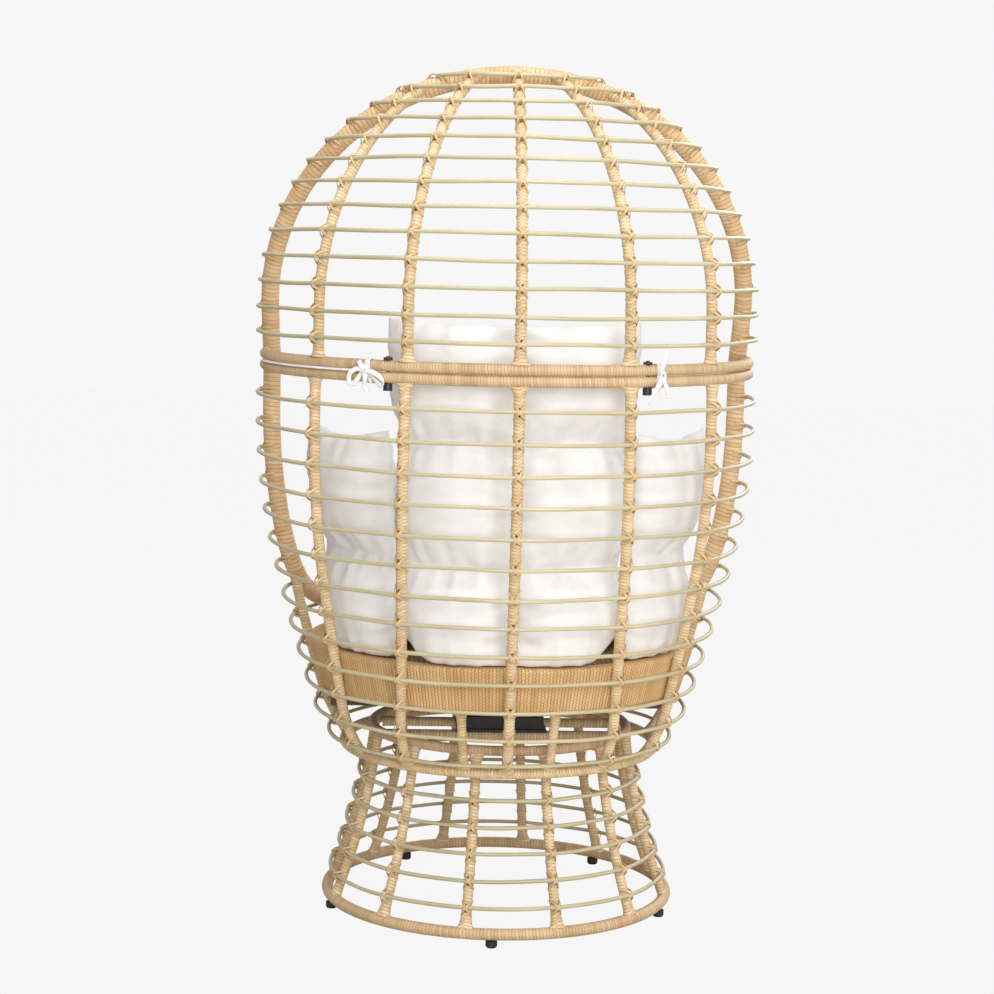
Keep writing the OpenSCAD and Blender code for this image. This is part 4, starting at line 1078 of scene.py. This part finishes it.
def grid_cushion(place, cols, rows, fat, cell=CELL, sink=DRAWN_IN):
    """Two faces of cloth on one grid, joined at the rim and drawn together along the sewn channels, with
    how far each point is pinned, how near a seam it lies and how far along it.
    place(u, v) gives a point of the middle sheet and the direction to the back of it."""
    lines_u, lines_v = [np.array(c, float) for c in (cols, rows)]

    def marks(lines, lengths):
        out = [lines[0]]
        for low, high, size in zip(lines[:-1], lines[1:], lengths):
            steps = max(int(round(size / cell)), 4)
            out += list(low + (high - low) * np.arange(1, steps + 1) / steps)
        return np.array(out)

    def away(values, lines, sizes):
        """Distance to the nearest sewn line."""
        whole = sum(sizes) / (lines[-1] - lines[0])
        return np.min(np.abs(values[:, None] - lines[None, :]), axis=1) * whole

    def bulge(values, lines):
        out = np.zeros(len(values))
        for low, high in zip(lines[:-1], lines[1:]):
            inside = (values >= low - 1e-9) & (values <= high + 1e-9)
            out[inside] = np.maximum(out[inside], np.sin(math.pi * (values[inside] - low) / (high - low)))
        return np.clip(out, 0, 1)

    mid = 0.5 * (lines_v[0] + lines_v[1])
    len_u = [np.linalg.norm(place(b, mid)[0] - place(a, mid)[0]) for a, b in zip(lines_u[:-1], lines_u[1:])]
    mid = 0.5 * (lines_u[0] + lines_u[1])
    len_v = [np.linalg.norm(place(mid, b)[0] - place(mid, a)[0]) for a, b in zip(lines_v[:-1], lines_v[1:])]
    us, vs = marks(lines_u, len_u), marks(lines_v, len_v)
    nu, nv = len(us), len(vs)
    bu, bv = bulge(us, lines_u), bulge(vs, lines_v)
    dome = (bv[:, None] * bu[None, :]) ** PUFF_ROUND
    sewn = (bv[:, None] < SEWN) | (bu[None, :] < SEWN)
    gap_u, gap_v = away(us, lines_u, len_u), away(vs, lines_v, len_v)
    near = np.exp(-np.minimum(gap_u[None, :], gap_v[:, None]) / GATHER_REACH)
    place_u, place_v = us * sum(len_u), vs * sum(len_v)
    run = np.where(gap_u[None, :] < gap_v[:, None], place_v[:, None], place_u[None, :] + 0.37)
    verts, index, nears, runs, pins = [], {}, [], [], []
    for side, j, i in np.ndindex(2, nv, nu):
        edge = i in (0, nu - 1) or j in (0, nv - 1)
        if side == 1 and edge:
            index[1, j, i] = index[0, j, i]
            continue
        index[side, j, i] = len(verts)
        point, back = place(us[i], vs[j])
        held = sewn[j, i] and not edge
        amount = 0.0 if edge else fat[side] * dome[j, i] + (sink if held else 0.0)
        verts.append(point + back * amount * (1 if side == 0 else -1))
        nears.append(near[j, i])
        runs.append(run[j, i] + 0.11 * side)
        corner = i in (0, nu - 1) and j in (0, nv - 1)
        channel_end = edge and bu[i] < SEWN and bv[j] < SEWN
        pins.append(1.0 if corner or held else 0.9 if channel_end else 0.0)
    faces = []
    for side, j, i in np.ndindex(2, nv - 1, nu - 1):
        quad = (index[side, j, i], index[side, j, i + 1], index[side, j + 1, i + 1], index[side, j + 1, i])
        faces.append(quad if side == 1 else quad[::-1])
    return np.array(verts), faces, np.array(pins), np.array(nears), np.array(runs)


def read_points(mesh, label):
    """Positions or normals of a mesh's points."""
    out = np.zeros(len(mesh.vertices) * 3, np.float32)
    mesh.vertices.foreach_get(label, out)
    return out.reshape(-1, 3).astype(float)


def inflate(obj, pins):
    """Blows the cushion up as cloth held at its sewn channels, and keeps the shape it takes."""
    group = obj.vertex_groups.new(name="sewn")
    for i, weight in enumerate(pins):
        if weight > 0:
            group.add([i], float(weight), "REPLACE")
    cloth = obj.modifiers.new("cloth", "CLOTH")
    s = cloth.settings
    s.vertex_group_mass = "sewn"
    s.quality = 6
    s.mass = 0.12
    s.tension_stiffness = s.compression_stiffness = 14
    s.shear_stiffness = 6
    s.bending_stiffness = 0.35
    s.use_pressure = True
    s.uniform_pressure_force = PUFF_PRESSURE
    s.shrink_min = COVER_GROWS
    s.effector_weights.gravity = 0
    cloth.collision_settings.use_collision = False
    cloth.collision_settings.use_self_collision = False
    cloth.point_cache.frame_end = PUFF_FRAMES
    scene = bpy.context.scene
    scene.frame_start, scene.frame_end = 1, PUFF_FRAMES
    for f in range(1, PUFF_FRAMES + 1):
        scene.frame_set(f)
    ready = obj.evaluated_get(bpy.context.evaluated_depsgraph_get())
    puffed = read_points(ready.to_mesh(), "co")
    ready.to_mesh_clear()
    obj.modifiers.remove(cloth)
    obj.vertex_groups.clear()
    scene.frame_set(1)
    return puffed


def soft_min(value, limit, blend):
    """The smaller of two, rounded over where they meet."""
    h = np.clip(0.5 + 0.5 * (limit - value) / blend, 0, 1)
    return value * h + limit * (1 - h) - blend * h * (1 - h)


def settle(points, reach=None, head_reach=None):
    """Keeps cloth inside the cage, on the deck and clear of its neighbours. reach gives the angles that it
    stays between, and head_reach those above the wings. Points are about the axis."""
    x, y, z = points.T.copy()
    r, a = np.hypot(x, y), np.degrees(np.arctan2(x, y))
    r = soft_min(r, pod_radius(np.clip(z, DECK_TOP, 1.4)) - TUBE_R - CAGE_GAP, PRESSED_ROUND)
    if reach is not None:
        low, high = [np.full(len(a), float(end)) for end in reach]
        if head_reach is not None:
            up = ease((z - WING_TOP - HEAD_CLEAR) / 0.03)
            low, high = low + (head_reach[0] - low) * up, high + (head_reach[1] - high) * up
        mid, room = 0.5 * (low + high), 0.5 * (high - low)
        off = a - mid
        a = mid + np.sign(off) * soft_min(np.abs(off), room, 1.0)
    z = -soft_min(-z, np.full(len(z), -(DECK_TOP + DECK_GAP)), PRESSED_ROUND)
    return np.stack([r * np.sin(np.radians(a)), r * np.cos(np.radians(a)), z], axis=1)


def wrinkle(obj, near, run):
    """Small gathers along the sewn channels and rim, fading out over the puffs."""
    co, normal = read_points(obj.data, "co"), read_points(obj.data, "normal")
    wide, small = 0.031, 0.019
    wave = np.sin(run * 2 * math.pi / wide + 3 * np.sin(run * 17))
    wave = wave + 0.6 * np.sin(run * 2 * math.pi / small + 2)
    fade = near * (1 - near) * 4
    return co + normal * (wave * fade * GATHER_SIZE)[:, None]


def set_points(mesh, points):
    mesh.vertices.foreach_set("co", points.astype(np.float32).ravel())
    mesh.update()


def press_out(points, reach, spread_by):
    """Presses the puffed sides of a cushion out against its neighbours, below the top of the wings."""
    r, a, z = np.hypot(points[:, 0], points[:, 1]), np.arctan2(points[:, 0], points[:, 1]), points[:, 2]
    mid = math.radians(0.5 * (reach[0] + reach[1]))
    a = mid + (a - mid) * (spread_by + (1 - spread_by) * ease((z - WING_TOP) / 0.04))
    return np.stack([r * np.sin(a), r * np.cos(a), z], axis=1)


def cushion_piece(name, made, node, reach=None, head_reach=None, spread_by=1.0):
    verts, faces, pins, near, run = made
    obj = new_object(name, verts, faces)
    soft = inflate(obj, pins)
    if reach is not None:
        soft = press_out(soft, reach, spread_by)
    set_points(obj.data, on_axis(settle(soft, reach, head_reach)))
    near, run = near.astype(np.float32).astype(float), run.astype(np.float32)
    set_points(obj.data, wrinkle(obj, near, run))
    more = obj.modifiers.new("smooth", "SUBSURF")
    more.levels = more.render_levels = 1
    finish_piece(obj, "pod", CLOTH_MAT, [node])


def back_edge(z):
    """Half angle of the back cushion, which widens at the head above the wings."""
    return BACK_EDGE + (HEAD_EDGE - BACK_EDGE) * float(ease((z - WING_TOP - 0.003) / 0.045))


def standing_sheet(edges, top, inset, lean, ears, corner, low_row, arch_at=0.5, arch=0.0):
    """Middle sheet of a cushion that stands on the deck. edges(z) gives its two side angles. Its top
    corners stand up as ears, its bottom corners are rounded up by corner, and the channel at arch_at
    rises over each puff by arch."""
    corner_wide, arch_reach, deck_reach = 0.23, 0.16, 0.05

    def place(u, v):
        pull = ears * math.sin(math.pi * u)
        side = max(1 - min(u, 1 - u) / corner_wide, 0)
        lift = corner * side ** 1.8 * max(1 - v / low_row, 0) ** 1.5
        rise = arch * (abs(math.sin(2 * math.pi * u)) - 0.6) * math.exp(-((v - arch_at) / arch_reach) ** 2)
        z = CUSHION_LOW + (top - CUSHION_LOW) * v - pull * v * v + lift + rise
        first, last = edges(z)
        a = math.radians(first + (last - first) * u)
        out = np.array((math.sin(a), math.cos(a), 0.0))
        near_deck = math.exp(-max(z - DECK_TOP, 0) / deck_reach)
        r = CUSHION_R + lean * (z - DECK_TOP) - inset * (1 - 0.45 * near_deck)
        return out * r + np.array((0, 0, z)), out
    return place


def row_at(z):
    """Share of the back cushion's height at which a channel lies."""
    return (z - CUSHION_LOW) / (BACK_TOP - CUSHION_LOW)


low_row, head_row = row_at(LOW_ROW_Z), row_at(HEAD_Z)
back_sheet = standing_sheet(lambda z: (-back_edge(z), back_edge(z)), BACK_TOP, inset=0.046, lean=BACK_LEAN,
                            ears=0.012, corner=0.078, low_row=low_row, arch_at=head_row, arch=0.03)
back = grid_cushion(back_sheet, [0, 0.5, 1], [0, low_row, head_row, 1], fat=(0.043, 0.046))
cushion_piece("back_quilt", back, "back_cushion", (-35.75, 35.75), (-41.0, 41.0), spread_by=1.07)
for name, low, high, reach in (("left", WING_LOW_EDGE, WING_HIGH_EDGE, (35.85, 76.0)),
                               ("right", -WING_HIGH_EDGE, -WING_LOW_EDGE, (-76.0, -35.85))):
    wing_sheet = standing_sheet(lambda z: (low, high), WING_TOP, inset=0.044, lean=WING_LEAN,
                                ears=0.014, corner=0.03, low_row=WING_ROW)
    wing = grid_cushion(wing_sheet, [0, 1], [0, WING_ROW, 1], fat=(0.041, 0.044))
    cushion_piece(f"wing_quilt_{name}", wing, f"wing_cushion_{name}", reach, spread_by=1.12)


def seat_sheet(u, v):
    """Middle sheet of the seat: a square drawn round, shallow at the back and full at the front."""
    x, y = 2 * u - 1, 1 - 2 * v
    px, py = x * math.sqrt(1 - y * y / 2), y * math.sqrt(1 - x * x / 2)
    a = abs(math.degrees(math.atan2(px, py)))
    t = min(max((a - SEAT_SIDE) / SEAT_BLEND, 0), 1)
    reach = SEAT_BACK + (SEAT_FRONT - SEAT_BACK) * t * t * (3 - 2 * t)
    return np.array((px * reach, py * reach, DECK_TOP + 0.03)), np.array((0, 0, 1.0))


seat = grid_cushion(seat_sheet, [0, 0.5, 1], [0, 0.5, 1], (0.05, 0.026), SEAT_CELL, SEAT_DRAWN_IN)
cushion_piece("seat_quilt", seat, "seat_cushion")


# ---- Ribbon ties ----------------------------------------------------------------------------------

# The ribbon, and how wide and square its turns lie round the seam rings
RIBBON_W, RIBBON_THICK = 0.01, 0.0009
BAND_W, BAND_ROUND, BAND_OVER = 0.0085, 0.55, 0.0012
# The end in the groove: its width, thickness and wave, and how far out and up it lies
GROOVE_W, GROOVE_THICK, GROOVE_WAVE, GROOVE_OUT, GROOVE_UP = 0.0064, 0.0008, 0.0006, 0.0082, 0.0004


def tie_frame(angle, local):
    """Points given as (across to the right seen from behind, up, out) at a place on the seam rings."""
    a = math.radians(angle)
    level, across = np.array((math.sin(a), math.cos(a), 0)), np.array((-math.cos(a), math.sin(a), 0))
    local = np.asarray(local, float)
    return (local[..., :1] * across + local[..., 1:2] * np.array((0, 0, 1.0))
            + (POD_R + local[..., 2:]) * level + np.array((0, 0, SEAM_Z)))


def tie_facing(angle, local):
    """Directions in the same frame."""
    return tie_frame(angle, local) - tie_frame(angle, np.zeros(3))


def band_round(lean, shift):
    """The ribbon's turn round both seam rings, and its outward directions."""
    w, h = SEAM_TUBE_R + RIBBON_THICK, 2 * SEAM_TUBE_R + BAND_OVER
    t = np.linspace(0, 2 * math.pi, 40)
    out = w * np.sign(np.cos(t)) * np.abs(np.cos(t)) ** BAND_ROUND
    up = h * np.sign(np.sin(t)) * np.abs(np.sin(t)) ** BAND_ROUND
    return np.stack([shift + lean * up, up, out], axis=1), np.stack([0 * t, np.sin(t), np.cos(t)], axis=1)


def groove_tail(first, last):
    """A ribbon end tucked along the groove between the two seam rings, face up."""
    a = np.linspace(first, last, 90)
    wave = GROOVE_WAVE * np.sin(np.radians(a) * 31)
    path = round_axis(POD_R + GROOVE_OUT + wave, a, SEAM_Z + GROOVE_UP)
    return flat_strand(path, round_axis(0.6, a, 0.8), GROOVE_W, GROOVE_THICK), path_length(path)


def tie_piece(name, angle, node, loops, tail=()):
    """A tied ribbon: two turns round the seam rings, and loops and ends, each with a twist and a width."""
    pieces, length = [], 0.0
    if tail:
        piece, length = groove_tail(*tail)
        pieces.append(piece)
    for lean, shift in ((0.10, -0.003), (-0.14, 0.003)):
        line, outs = band_round(lean, shift)
        path = tie_frame(angle, line)
        length += path_length(path)
        pieces.append(flat_strand(path, tie_facing(angle, outs), BAND_W, RIBBON_THICK))
    for points, twist, width in loops:
        path = smooth_line(tie_frame(angle, points), 44)
        length += path_length(path)
        t = np.linspace(0, 1, len(path))
        facing = np.stack([np.sin(twist * t), 0.5 * np.cos(2.5 * twist * t), 1 + 0 * t], axis=1)
        pieces.append(flat_strand(path, tie_facing(angle, facing), width, RIBBON_THICK))
    obj = finish_piece(joined(name, pieces), "pod", RIBBON_MAT, [node])


KNOT = [((-0.005, 0.004, 0.012), (-0.002, 0.008, 0.0155), (0.004, 0.004, 0.017), (0.004, -0.004, 0.016),
         (-0.003, -0.006, 0.0145), (-0.005, 0.002, 0.0125)), 0.5, 0.007]
LEFT_LOOPS = [
    KNOT,
    [((0, 0, 0.014), (-0.012, 0.004, 0.018), (-0.026, -0.004, 0.020), (-0.030, -0.018, 0.017),
      (-0.022, -0.020, 0.014), (-0.010, -0.006, 0.013), (0, 0, 0.014)), 0.9, 0.0085],
    [((0, 0, 0.015), (0.014, 0.000, 0.019), (0.030, -0.006, 0.021), (0.037, -0.016, 0.018),
      (0.030, -0.022, 0.015), (0.014, -0.010, 0.014), (0, -0.001, 0.014)), -0.8, 0.0085],
    [((0, 0, 0.015), (0.002, -0.012, 0.019), (-0.001, -0.024, 0.015), (0.003, -0.034, 0.011)), 0.5, 0.008],
    [((0, 0, 0.015), (-0.006, 0.010, 0.019), (-0.014, 0.016, 0.014)), 0.5, 0.008]]
RIGHT_LOOPS = [
    KNOT,
    [((0, 0, 0.014), (-0.004, 0.014, 0.019), (0.002, 0.030, 0.020), (0.010, 0.040, 0.016),
      (0.012, 0.028, 0.012), (0.004, 0.010, 0.012), (0, 0, 0.014)), 0.9, 0.009],
    [((0, 0, 0.015), (-0.010, -0.014, 0.019), (-0.020, -0.030, 0.017), (-0.026, -0.044, 0.012)), 0.6, 0.009],
    [((0, 0, 0.015), (0.004, -0.012, 0.018), (0.012, -0.026, 0.016), (0.016, -0.036, 0.012)), -0.6, 0.0085],
    [((0, 0, 0.015), (-0.006, -0.012, 0.018), (-0.008, -0.028, 0.014), (-0.003, -0.042, 0.010)), 0.8, 0.008]]
tie_piece("ribbon_tie_left", 34.0, "cushion_tie_left", LEFT_LOOPS, (34.6, 80.0))
tie_piece("ribbon_tie_right", -32.0, "cushion_tie_right", RIGHT_LOOPS)


# ---- Swivel, bolts, glides and cross bars ---------------------------------------------------------

FINISHES = (
    (BLACK_MAT, ("swivel_base_plate", "swivel_lower_block", "swivel_upper_block", "swivel_top_plate",
                 "seam_bolts", "seam_cap_nuts")),
    (STEEL_MAT, ("swivel_pin", "swivel_pin_nut", "swivel_base_screws", "swivel_top_screws",
                 "swivel_balls", "swivel_ball_cage")),
    (RUBBER_MAT, ("foot_glides",)),
    (BEAM_MAT, ("deck_beams",)))
for mat, nodes in FINISHES:
    for node in nodes:
        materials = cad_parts[node].data.materials
        materials.clear()
        materials.append(mat)
bars = []
for way in (-1, 1):
    x = np.linspace(-BAR_END, BAR_END, 200)
    line = np.stack([x, np.full(200, way * BAR_Y), np.full(200, BASE_TOP_Z - TUBE_R)], axis=1)
    bars.append(wound_tube(line, (0, way * BAR_Y, -1.0), BAR_R, flares=BAR_FLARES))
dress("wound_cross_bars", bars, "base", RIB_MAT, ["base_cross_bars"])


# ---- Floor, light and camera ----------------------------------------------------------------------

PAPER = srgb(247, 247, 247)
FLOOR_COLOUR = (0.6, 0.57, 0.51, 1)
FLOOR_HALF = 14.0
FLOOR_SEEN_PLAIN = 0.985
ROOM_COLOUR, ROOM_LIGHT = (1.0, 0.99, 0.98, 1), 0.39


def plain_floor():
    """A floor that is seen as plain paper with only the chair's shadow on it."""
    mat, g, shader = new_material("studio paper", **{
        "Base Color": FLOOR_COLOUR, "Roughness": 0.9, "Specular IOR Level": 0.1})
    corners = [(-FLOOR_HALF, -FLOOR_HALF, 0), (FLOOR_HALF, -FLOOR_HALF, 0),
               (FLOOR_HALF, FLOOR_HALF, 0), (-FLOOR_HALF, FLOOR_HALF, 0)]
    floor = new_object("floor", corners, [(0, 1, 2, 3)], smooth=False)
    floor.data.materials.append(mat)
    seen = g.node("ShaderNodeLightPath").outputs["Is Camera Ray"]
    glow = g.node("ShaderNodeEmission", {0: PAPER, 1: 1.0})
    both = g.node("ShaderNodeMixShader", {0: g.times(seen, FLOOR_SEEN_PLAIN)})
    g.feed(both, {1: shader.outputs[0], 2: glow.outputs[0]})
    end = next(n for n in g.tree.nodes if n.type == "OUTPUT_MATERIAL")
    g.feed(end, {0: both.outputs[0]})


def room():
    """Soft light from all round, seen as paper by the camera, in gloss and through glass."""
    world = bpy.data.worlds.new("studio")
    bpy.context.scene.world = world
    world.use_nodes = True
    world.node_tree.nodes.clear()
    g = Graph(world.node_tree)
    ray = g.node("ShaderNodeLightPath").outputs
    mirrored = g.math("MAXIMUM", ray["Is Glossy Ray"], ray["Is Transmission Ray"])
    seen = g.math("MAXIMUM", ray["Is Camera Ray"], mirrored)
    strength = g.span(seen, 0.0, 1.0, ROOM_LIGHT, 1.0)
    sky = g.node("ShaderNodeBackground", {0: g.mix(seen, ROOM_COLOUR, PAPER), 1: strength})
    g.feed(g.node("ShaderNodeOutputWorld"), {0: sky.outputs[0]})


def soft_box(name, place, aim, size, watts):
    light = bpy.data.lights.new(name, "AREA")
    light.shape = "RECTANGLE"
    light.size, light.size_y, light.energy = size[0], size[1], watts
    obj = bpy.data.objects.new(name, light)
    bpy.context.scene.collection.objects.link(obj)
    obj.location = place
    obj.rotation_euler = (Vector(aim) - Vector(place)).to_track_quat("-Z", "Y").to_euler()


plain_floor()
room()
soft_box("front box", (-0.4, 4.0, 1.7), (0, 0, 0.95), (2.4, 2.0), 116)
soft_box("top box", (0.2, 0.7, 3.6), (0, 0, 0.6), (2.2, 2.2), 54)
soft_box("side box", (-3.2, 1.2, 1.9), (0, 0, 0.8), (1.8, 2.4), 26)
soft_box("far box", (-2.3, -3.2, 2.5), (0, 0, 0.8), (2.0, 2.0), 62)

# The camera stands where the photograph was taken from, a little turned, pitched down and rolled.
CAMERA_AZIMUTH = math.radians(177.1)
CAMERA_FROM_AXIS = 4.151
CAMERA_HEIGHT = 1.1876
YAW, PITCH, ROLL = math.radians(-0.172), math.radians(6.25), 0.0203
FOCAL_PIXELS, PICTURE_PIXELS = 2335, 994
UP = np.array((0, 0, 1.0))
toward = np.array((math.sin(CAMERA_AZIMUTH), -math.cos(CAMERA_AZIMUTH), 0))
ahead = -toward
right = np.cross(ahead, UP)
flat_right = math.cos(YAW) * right - math.sin(YAW) * ahead
flat_ahead = math.sin(YAW) * right + math.cos(YAW) * ahead
upward = math.sin(PITCH) * flat_ahead + math.cos(PITCH) * UP
sight = math.cos(PITCH) * flat_ahead - math.sin(PITCH) * UP
cam_right = math.cos(ROLL) * flat_right + math.sin(ROLL) * upward
cam_up = -math.sin(ROLL) * flat_right + math.cos(ROLL) * upward
camera_data = bpy.data.cameras.new("camera")
camera_data.sensor_width = 36
camera_data.lens = FOCAL_PIXELS / PICTURE_PIXELS * camera_data.sensor_width
camera_data.clip_end = 60
camera = bpy.data.objects.new("camera", camera_data)
bpy.context.scene.collection.objects.link(camera)
place = toward * CAMERA_FROM_AXIS + np.array((0, AXIS_Y, CAMERA_HEIGHT))
rows = [(cam_right[k], cam_up[k], -sight[k], place[k]) for k in range(3)]
camera.matrix_world = Matrix(rows + [(0, 0, 0, 1)])
bpy.context.scene.camera = camera
bpy.context.scene.view_settings.view_transform = "Standard"
